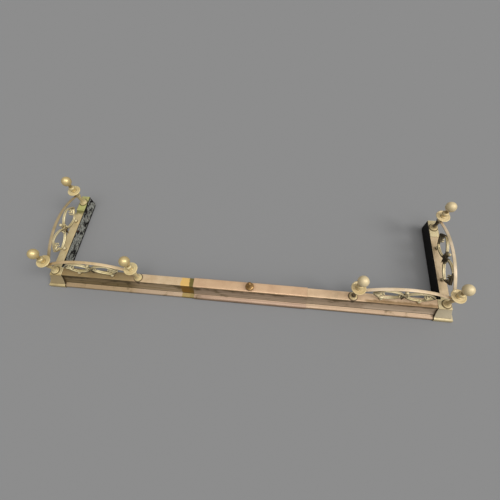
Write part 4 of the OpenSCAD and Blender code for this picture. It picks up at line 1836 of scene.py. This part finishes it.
@dataclass
class Strap:
    """The arched flat strap of a gallery, drawn out from its crest to both eyes."""

    arm: Arm
    run: Run
    finish: Finish
    width: float = 9.2 * MM
    thick: float = 2.5 * MM
    rounding: float = 0.7 * MM
    bend: float = 6 * MM
    flat: float = 9 * MM
    eye_r: float = 8 * MM
    eye_lap: float = 2 * MM
    eye_edge: float = 0.4 * MM
    sharp: float = 40.0
    span: float = field(init=False)
    crest: float = field(init=False)

    def __post_init__(self) -> None:
        """Reads the span of the gallery and the height of its crest from the frame."""
        far = "inner_pillar" if self.run is Run.FRONT else "back_pillar"
        self.span = self.arm.reach(self.run, middle(self.arm.node(far)))
        self.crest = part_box(self.arm.node(self.part))[1].z

    @property
    def part(self) -> str:
        """The part's name."""
        return f"{self.run.value}_arch"

    def bar(self, bm: BMesh) -> None:
        """Draws the rounded section of the bar at the crest.

        Args:
            bm: The mesh to draw in.
        """
        x, z, r = self.width / 2, self.crest - self.thick, self.rounding
        pen = Outline(bm, -x + r, z).line(x - r, z).arc(x - r, z + r, -90, 3)
        pen.line(x, self.crest - r).arc(x - r, self.crest - r, -90, 3)
        pen.line(0, self.crest).line(-x + r, self.crest).arc(-x + r, self.crest - r, -90, 3)
        pen.line(-x, z + r).arc(-x + r, z + r, -80, 2).close()

    def half(self, eye_z: float, toward: int) -> bpy.types.Mesh:
        """Builds the strap from its crest to one eye.

        Args:
            eye_z: Height of the underside of the eye.
            toward: -1 for the corner pillar, 1 for the far one.

        Returns:
            The half strap, with the eye.
        """
        half_span, eye_middle = self.span / 2, eye_z + self.thick / 2
        crest_middle = self.crest - self.thick / 2
        run = half_span - self.flat
        lean = 2 * math.atan((crest_middle - eye_middle) / run)
        radius = run / math.sin(lean) - self.bend
        bm = bmesh.new()
        self.bar(bm)
        bmesh.ops.translate(bm, vec=(0, half_span, 0), verts=bm.verts)
        ends: list = [*bm.verts, *bm.edges]
        for centre_y, centre_z, angle, steps, step in (
            (half_span, crest_middle - radius, -toward * lean, 30, 0.0),
            (half_span + toward * run, eye_middle + self.bend, toward * lean, 6, 0.0),
            (0.0, 0.0, 0.0, 1, toward * (self.flat - self.eye_lap)),
        ):
            ends = bmesh.ops.spin(
                bm, geom=ends, cent=(0, centre_y, centre_z), axis=(1, 0, 0), angle=angle,
                steps=steps, dvec=(0, step, 0),
            )["geom_last"]
        self.eye(bm, Matrix.Translation((0, half_span + toward * half_span, eye_middle)))
        bmesh.ops.recalc_face_normals(bm, faces=bm.faces)
        return to_mesh(bm, "half_strap")

    def eye(self, bm: BMesh, where: Matrix) -> None:
        """Adds the round eye that the finial passes through, with its rims rounded.

        Args:
            bm: The mesh.
            where: The place of its middle.
        """
        made = bmesh.ops.create_cone(
            bm, cap_ends=True, segments=48, radius1=self.eye_r, radius2=self.eye_r,
            depth=self.thick, matrix=where,
        )["verts"]
        edges = {edge for vert in made for edge in vert.link_edges}
        soften(bm, [e for e in edges if abs(e.verts[0].co.z - e.verts[1].co.z) < SAME_SPOT], self.eye_edge)

    def build(self) -> None:
        """Joins the two halves at the crest."""
        node = self.arm.node(self.part)
        bm = bmesh.new()
        bm.from_mesh(self.half(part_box(node)[0].z, -1))
        bm.from_mesh(self.half(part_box(self.arm.node("inner_pillar"))[1].z, 1))
        bmesh.ops.remove_doubles(bm, verts=bm.verts, dist=SAME_SPOT / 2)
        bmesh.ops.recalc_face_normals(bm, faces=bm.faces)
        self.arm.deliver(to_mesh(bm, node), self.part, self.finish, self.arm.axes(self.run), self.sharp)


@dataclass
class ScrollPattern:
    """The cast scroll that all four galleries share.

    It is laid up from small rounds, as a carver builds a pattern in wax, then skinned
    over. Along and up are measured from the knot in the middle. The leaflets, berries and
    rounds are places (along, up) in millimetres, the berries with their size, the rounds
    with their size and depth. The stem, the drop and its ridge are two heights each.
    """

    tip: float = 87 * MM
    peak: Pair = (51 * MM, 25.5 * MM)
    shoulder: float = 57 * MM
    strand: float = 3.2 * MM
    strand_ends: float = 0.72
    strand_depth: float = 0.85
    spread: float = 2.1 * MM
    loop_length: float = 95 * MM
    bend: float = 7 * MM
    tip_inset: float = 2.2 * MM
    tip_length: float = 30 * MM
    tip_shares: Pair = (0.76, 0.70)
    pitch: float = 0.9 * MM
    skin: float = 0.6 * MM
    leaflets: Points = ((65.0, 11.5), (62.0, 1.2), (65.0, -10.5))
    leaf_root: float = 6 * MM
    leaf_bow: float = 1.6 * MM
    leaf_fan: float = 0.25
    leaflet_sizes: Pair = (1.3, 2.8)
    leaflet_depth: float = 1.1
    vein_sizes: Pair = (0.7, 1.6)
    vein_out: float = 2.6 * MM
    berries: tuple[Triple, ...] = (
        (59.4, 7.4, 2.6), (56.4, 1.4, 2.8), (59.4, -5.6, 2.6),
    )
    berry_out: float = 1.5 * MM
    curl_rounds: Rounds = ((8.6, 9.6, 3.4, 1.5), (12.4, 4.0, 2.7, 1.6))
    stalk_along: Pair = (11.6, 6.1)
    stalk_up: Pair = (4.2, 0.6)
    stalk_sizes: Pair = (1.9, 1.5)
    stalk_length: float = 6 * MM
    knot_rounds: Rounds = (
        (0, 0, 5.2, 0.7), (0, 0, 3.8, 1.35), (0, 13.6, 3.2, 1.0), (0, 22.6, 5.5, 1.0),
        (-5.4, -11.5, 2.2, 1.1), (5.4, -11.5, 2.2, 1.1),
    )
    lozenge: int = 6
    lozenge_pitch: float = 0.95 * MM
    lozenge_round: float = 1.8 * MM
    lozenge_depth: float = 2.3
    stem: Pair = (7, 19)
    stem_size: float = 2.1
    drop: Pair = (-7, -29)
    drop_depth: float = 0.95
    drop_ridge: Pair = (-9, -26)
    ridge_size: float = 0.9
    ridge_out: float = 3.4 * MM
    foot_along: float = 54 * MM
    foot_drop: float = 34.6 * MM
    foot_bead: float = 6.0 * MM
    foot_post: float = 10 * MM
    post_r: float = 2.4 * MM
    collar_rise: float = 5.6 * MM
    collar_r: float = 3.1 * MM
    seat_drop: float = 39.5 * MM

    def dab(
        self, bm: BMesh, along: float, up: float, radius: float, depth: float = 1.0, out: float = 0.0,
    ) -> None:
        """Adds one round, as thick as its depth says, and standing out of the scroll's plane."""
        where = Matrix.Translation((out, along, up)) @ Matrix.Diagonal((depth, 1, 1, 1))
        bmesh.ops.create_icosphere(bm, subdivisions=2, radius=radius, matrix=where)

    def trail(
        self, bm: BMesh, path: Callable[[float], Pair],
        radius: Callable[[float], float], length: float, depth: float = 1.0, out: float = 0.0,
    ) -> None:
        """Adds a row of rounds so close that they read as one strand.

        Args:
            bm: The mesh.
            path: Place (along, up) at a share of the way from 0 to 1.
            radius: Size at that share.
            length: Length of the strand, which sets the number of rounds.
            depth: Thickness against the size.
            out: How far it stands out of the plane.
        """
        count = max(3, round(length / self.pitch))
        row = bmesh.new()
        for index in range(count + 1):
            share = index / count
            self.dab(row, *path(share), radius(share), depth, out)
        mesh = to_mesh(row, "trail")
        bm.from_mesh(mesh)
        bpy.data.meshes.remove(mesh)

    def loop(self, bm: BMesh, along: int, up: int) -> None:
        """Lays one strand from the knot over its peak to the leaf.

        Args:
            bm: The mesh.
            along: 1 or -1, the way along the gallery.
            up: 1 or -1, the upper or the lower strand.
        """
        peak_u, peak_h = self.peak
        radius = (peak_u**2 + peak_h**2) / (2 * peak_h)
        start = math.atan2(-peak_u, radius - peak_h)
        stop = math.asin((self.shoulder - peak_u) / radius)

        def arc(share: float) -> Pair:
            """The place on the arc over the peak.

            Args:
                share: How far along the arc, from 0 to 1.

            Returns:
                The place (along, up).
            """
            angle = start + (stop - start) * share
            height = peak_h - radius + radius * math.cos(angle)
            return along * (peak_u + radius * math.sin(angle)), up * height

        def size(share: float) -> float:
            """The size of the strand, which is fullest just past its middle."""
            fullness = math.sin(math.pi * min(1.0, share * 0.95)) ** 1.2
            return self.strand * between(self.strand_ends, 1.0, fullness)

        for out in (-self.spread, self.spread):
            self.trail(bm, arc, size, self.loop_length, self.strand_depth, out)
        end = Vector(arc(1.0))
        bend = end + Vector((along * math.cos(stop), -up * math.sin(stop))) * self.bend
        point = Vector((along * (self.tip - self.tip_inset), 0.0))

        def to_point(share: float) -> Pair:
            """The place on the bend from the arc to the tip."""
            spot = end * (1 - share) ** 2 + bend * 2 * share * (1 - share) + point * share**2
            return spot.x, spot.y

        for out in (-self.spread, self.spread):
            self.trail(
                bm, to_point, lambda s: self.strand * between(*self.tip_shares, s), self.tip_length,
                self.strand_depth, out,
            )

    def leaf(self, bm: BMesh, along: int) -> None:
        """Lays the leaf in the end of a pair of loops: three veined leaflets, and berries.

        Args:
            bm: The mesh.
            along: 1 or -1, the way along the gallery.
        """
        for u, h in self.leaflets:
            root = Vector((self.tip - self.leaf_root, self.leaf_fan * h * MM))
            end = Vector((u, h)) * MM
            bow = Vector((0.0, math.copysign(self.leaf_bow, h)))

            def path(share: float, end: Vector = end, bow: Vector = bow, root: Vector = root) -> tuple:
                """The place on the leaflet."""
                spot = root.lerp(end, share) + bow * math.sin(math.pi * share)
                return along * spot.x, spot.y

            length = (end - root).length
            self.trail(
                bm, path, lambda s: between(*self.leaflet_sizes, math.sin(0.8 * math.pi * s)) * MM,
                length, self.leaflet_depth,
            )
            for out in (self.vein_out, -self.vein_out):
                self.trail(bm, path, lambda s: between(*self.vein_sizes, s) * MM, length, 1.0, out)
        for u, h, size in self.berries:
            for out in (-self.berry_out, self.berry_out):
                self.dab(bm, along * u * MM, h * MM, size * MM, 1.0, out)

    @staticmethod
    def drop_size(share: float) -> float:
        """The size of the drop in millimetres, which swells early and tapers to its foot."""
        return 3 + 2 * math.sin(math.pi * min(1.0, 1.3 * share + 0.1)) - 2.2 * share

    def knot(self, bm: BMesh) -> None:
        """Lays the knot: a lozenge with a boss, four curls, collars, the top bead and the drop.

        Args:
            bm: The mesh.
        """
        for along in (-1, 1):
            for up in (-1, 1):
                for u, h, size, depth in self.curl_rounds:
                    self.dab(bm, along * u * MM, up * h * MM, size * MM, depth)
                self.trail(
                    bm,
                    lambda s, a=along, u=up: (
                        a * between(*self.stalk_along, s) * MM, u * between(*self.stalk_up, s) * MM,
                    ),
                    lambda s: between(*self.stalk_sizes, s) * MM, self.stalk_length,
                )
        for index in range(-self.lozenge, self.lozenge + 1):
            half = (self.lozenge + 0.5 - abs(index)) * self.lozenge_pitch
            for side in (-1, 1):
                self.dab(
                    bm, index * self.lozenge_pitch, side * half, self.lozenge_round, self.lozenge_depth
                )
        for u, h, size, depth in self.knot_rounds:
            self.dab(bm, u * MM, h * MM, size * MM, depth)
        for (start, stop), size, depth, out in (
            (self.stem, lambda s: self.stem_size, 1.0, 0.0),
            (self.drop, self.drop_size, self.drop_depth, 0.0),
            (self.drop_ridge, lambda s: self.ridge_size, 1.0, self.ridge_out),
        ):
            self.trail(
                bm, lambda s, a=start, b=stop: (0.0, (a + (b - a) * s) * MM),
                lambda s, size=size: size(s) * MM, abs(stop - start) * MM, depth, out,
            )

    def foot(self, bm: BMesh, along: int) -> None:
        """Lays one bead foot, its post and its collar.

        Args:
            bm: The mesh.
            along: 1 or -1, the way along the gallery.
        """
        place, bead = along * self.foot_along, -self.foot_drop
        self.dab(bm, place, bead, self.foot_bead)
        self.trail(bm, lambda s: (place, bead + self.foot_post * s), lambda s: self.post_r, self.foot_post)
        self.dab(bm, place, bead + self.collar_rise, self.collar_r)

    def wax(self) -> bpy.types.Mesh:
        """Lays up the whole scroll.

        Returns:
            The rounds, as one loose mesh.
        """
        bm = bmesh.new()
        for along in (-1, 1):
            for up in (-1, 1):
                self.loop(bm, along, up)
            self.leaf(bm, along)
            self.foot(bm, along)
        self.knot(bm)
        return to_mesh(bm, "scroll_wax")

    def mesh(self) -> bpy.types.Mesh:
        """Skins the wax over and trims its feet level.

        Returns:
            The scroll, with how dark its places are painted with dirt and painted shade.
        """
        wax = bpy.data.objects.new("scroll_wax", self.wax())
        bpy.context.scene.collection.objects.link(wax)
        skin = wax.modifiers.new("skin", "REMESH")
        skin.mode, skin.voxel_size = "VOXEL", self.skin
        calm = wax.modifiers.new("calm", "SMOOTH")
        calm.factor, calm.iterations = 0.5, 2
        graph = bpy.context.evaluated_depsgraph_get()
        skinned = bpy.data.meshes.new_from_object(wax.evaluated_get(graph))
        bpy.data.objects.remove(wax)
        bm = bmesh.new()
        bm.from_mesh(skinned)
        bmesh.ops.bisect_plane(
            bm, geom=everything(bm), plane_co=(0, 0, -self.seat_drop), plane_no=(0, 0, 1), clear_inner=True
        )
        bmesh.ops.holes_fill(bm, edges=[edge for edge in bm.edges if edge.is_boundary], sides=0)
        bmesh.ops.recalc_face_normals(bm, faces=bm.faces)
        # The deep layer holds dirt and painted shade for the knot, drop and leaves.
        deep = layer(bm, "deep")
        for vert in bm.verts:
            vert[deep] = self.grime_and_shade_at(abs(vert.co.y), vert.co.z)
        return to_mesh(bm, "scroll")

    def grime_and_shade_at(self, along: float, up: float) -> float:
        """How dark a place is painted, with dirt and painted shade: most in the drop, then the knot and
        the leaves.

        Args:
            along: How far along the gallery the place is from the knot.
            up: Its height over the knot.

        Returns:
            A number from 0 to 1.
        """
        in_drop = along < 9 * MM and -28 * MM < up < -6 * MM
        in_knot = along < 14 * MM and up < 17 * MM
        in_leaf = along > 60 * MM
        if in_drop:
            return 1.0
        if in_knot:
            return 0.6
        return 0.5 if in_leaf else 0.0


@dataclass
class Galleries:
    """The four galleries, each a strap over a copy of the same scroll."""

    arms: list[Arm]
    sharp: float = 60.0

    def build(self) -> None:
        """Builds the straps, and sets a copy of the scroll under each."""
        pattern = ScrollPattern()
        master = pattern.mesh()
        for arm in self.arms:
            for run, strap_finish, finish in (
                (Run.FRONT, STRAP_X, SCROLL), (Run.RETURN, STRAP_Y, arm.wear.return_scroll)
            ):
                strap = Strap(arm, run, strap_finish)
                strap.build()
                part = f"{run.value}_scroll"
                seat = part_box(arm.node(part))[0].z
                place = Matrix.Translation((0, strap.span / 2, seat + pattern.seat_drop))
                arm.deliver(master.copy(), part, finish, arm.axes(run) @ place, self.sharp)


# ---------------------------------------------------------------------- studio


@dataclass(frozen=True)
class Lamp:
    """A wide, far light, which lies evenly over the whole floor.

    It shines from its place towards the origin. Its width in radians softens its shadows.
    """

    name: str
    place: Triple
    level: float
    width: float

    def hang(self) -> None:
        """Adds the light to the scene."""
        light = bpy.data.lights.new(self.name, "SUN")
        light.energy, light.angle = self.level, self.width
        lamp = bpy.data.objects.new(self.name, light)
        lamp.location = self.place
        lamp.rotation_euler = (-Vector(self.place)).to_track_quat("-Z", "Y").to_euler()
        bpy.context.scene.collection.objects.link(lamp)


@dataclass
class Studio:
    """Floor, lamps, sky and the camera at the photograph's angle.

    The sky is an axis, where it starts and ends to change, and its level at both.
    """

    floor_colour: str = "#8d8d8d"
    floor_size: float = 14.0
    lamps: tuple[Lamp, ...] = (
        Lamp("window", (0.85, -0.2, 1.0), 1.15, 0.4),
        Lamp("overhead", (0.05, -0.25, 1.0), 0.83, 0.5),
    )
    sky: tuple[tuple[str, float, float, float, float], ...] = (
        ("X", -0.9, 0.9, 0.5, 1.3), ("Y", -0.9, 0.9, 1.2, 0.75), ("Z", 0.0, 0.9, 0.2, 0.64),
    )
    sensor: float = 36.0
    lens: float = 23.67
    eye: Triple = (0.100747, -0.486098, 0.990113)
    turn: Triple = (27.664, 2.183, 6.116)

    def floor(self) -> None:
        """Lays a plain pale floor."""
        bm = bmesh.new()
        bmesh.ops.create_grid(bm, x_segments=8, y_segments=8, size=self.floor_size / 2)
        floor = bpy.data.objects.new("floor", to_mesh(bm, "floor"))
        bpy.context.scene.collection.objects.link(floor)
        recipe = Recipe("floor")
        for name, value in (
            ("Base Color", self.floor_colour), ("Roughness", 0.95), ("Specular IOR Level", 0.1)
        ):
            recipe.shade(name, value)
        floor.data.materials.append(recipe.material)

    def world(self) -> None:
        """Makes a soft sky, brighter overhead, in front and on the right."""
        world = bpy.data.worlds.new("room")
        bpy.context.scene.world = world
        world.use_nodes = True
        tree = world.node_tree
        split = tree.nodes.new("ShaderNodeSeparateXYZ")
        tree.links.new(tree.nodes.new("ShaderNodeTexCoord").outputs["Generated"], split.inputs[0])
        strength = tree.nodes["Background"].inputs["Strength"]
        level = None
        for axis, *numbers in self.sky:
            part = tree.nodes.new("ShaderNodeMapRange")
            tree.links.new(split.outputs[axis], part.inputs["Value"])
            for key, number in zip(("From Min", "From Max", "To Min", "To Max"), numbers):
                part.inputs[key].default_value = number
            product = tree.nodes.new("ShaderNodeMath")
            product.operation = "MULTIPLY"
            product.inputs[0].default_value = 1.0
            if level:
                tree.links.new(level, product.inputs[0])
            tree.links.new(part.outputs[0], product.inputs[1])
            level = product.outputs[0]
        tree.links.new(level, strength)
        tree.nodes["Background"].inputs["Color"].default_value = (1, 1, 1, 1)

    def camera(self) -> None:
        """Sets the camera where the photographer stood."""
        data = bpy.data.cameras.new("camera")
        data.sensor_width, data.lens = self.sensor, self.lens
        camera = bpy.data.objects.new("camera", data)
        camera.location = self.eye
        camera.rotation_euler = [math.radians(angle) for angle in self.turn]
        bpy.context.scene.collection.objects.link(camera)
        bpy.context.scene.camera = camera

    def build(self) -> None:
        """Builds the studio."""
        self.camera()
        self.floor()
        self.world()
        for lamp in self.lamps:
            lamp.hang()
        bpy.context.scene.view_settings.view_transform = "Standard"


# ------------------------------------------------------------------------ main


def dress(frame: dict, names: Sequence[str], finish: Finish) -> None:
    """Gives CAD nodes that stay a better finish.

    Args:
        names: Endings of the nodes' names.
        finish: Their finish.
    """
    for name, node in frame["nodes"].items():
        if name.endswith(tuple(names)):
            for place in node.material_slots:
                place.material = finish.material()
            LOG.info("%s: kept from the frame, in %s", name, finish.name)


def main() -> None:
    """Builds the fender round its frame."""
    logging.basicConfig(level=logging.INFO, format="%(name)s: %(message)s")
    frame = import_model()
    Studio().build()
    arms = [Arm(side) for side in Side]
    for arm in arms:
        KerbSheet(arm, Run.FRONT, arm.wear.front_rail).build()
        KerbSheet(arm, Run.RETURN, arm.wear.return_rail).build()
        Casting(arm).build()
        for place in PLACES:
            Finial(arm, place).build()
    Galleries(arms).build()
    Sleeve().build()
    dress(frame, ("_channel", "back_plate"), IRON)
    dress(frame, ("tie_rods", "tie_nuts", "scroll_screws", "knob_stud", "knob_nut"), STEEL)


if __name__ == "__main__":
    main()
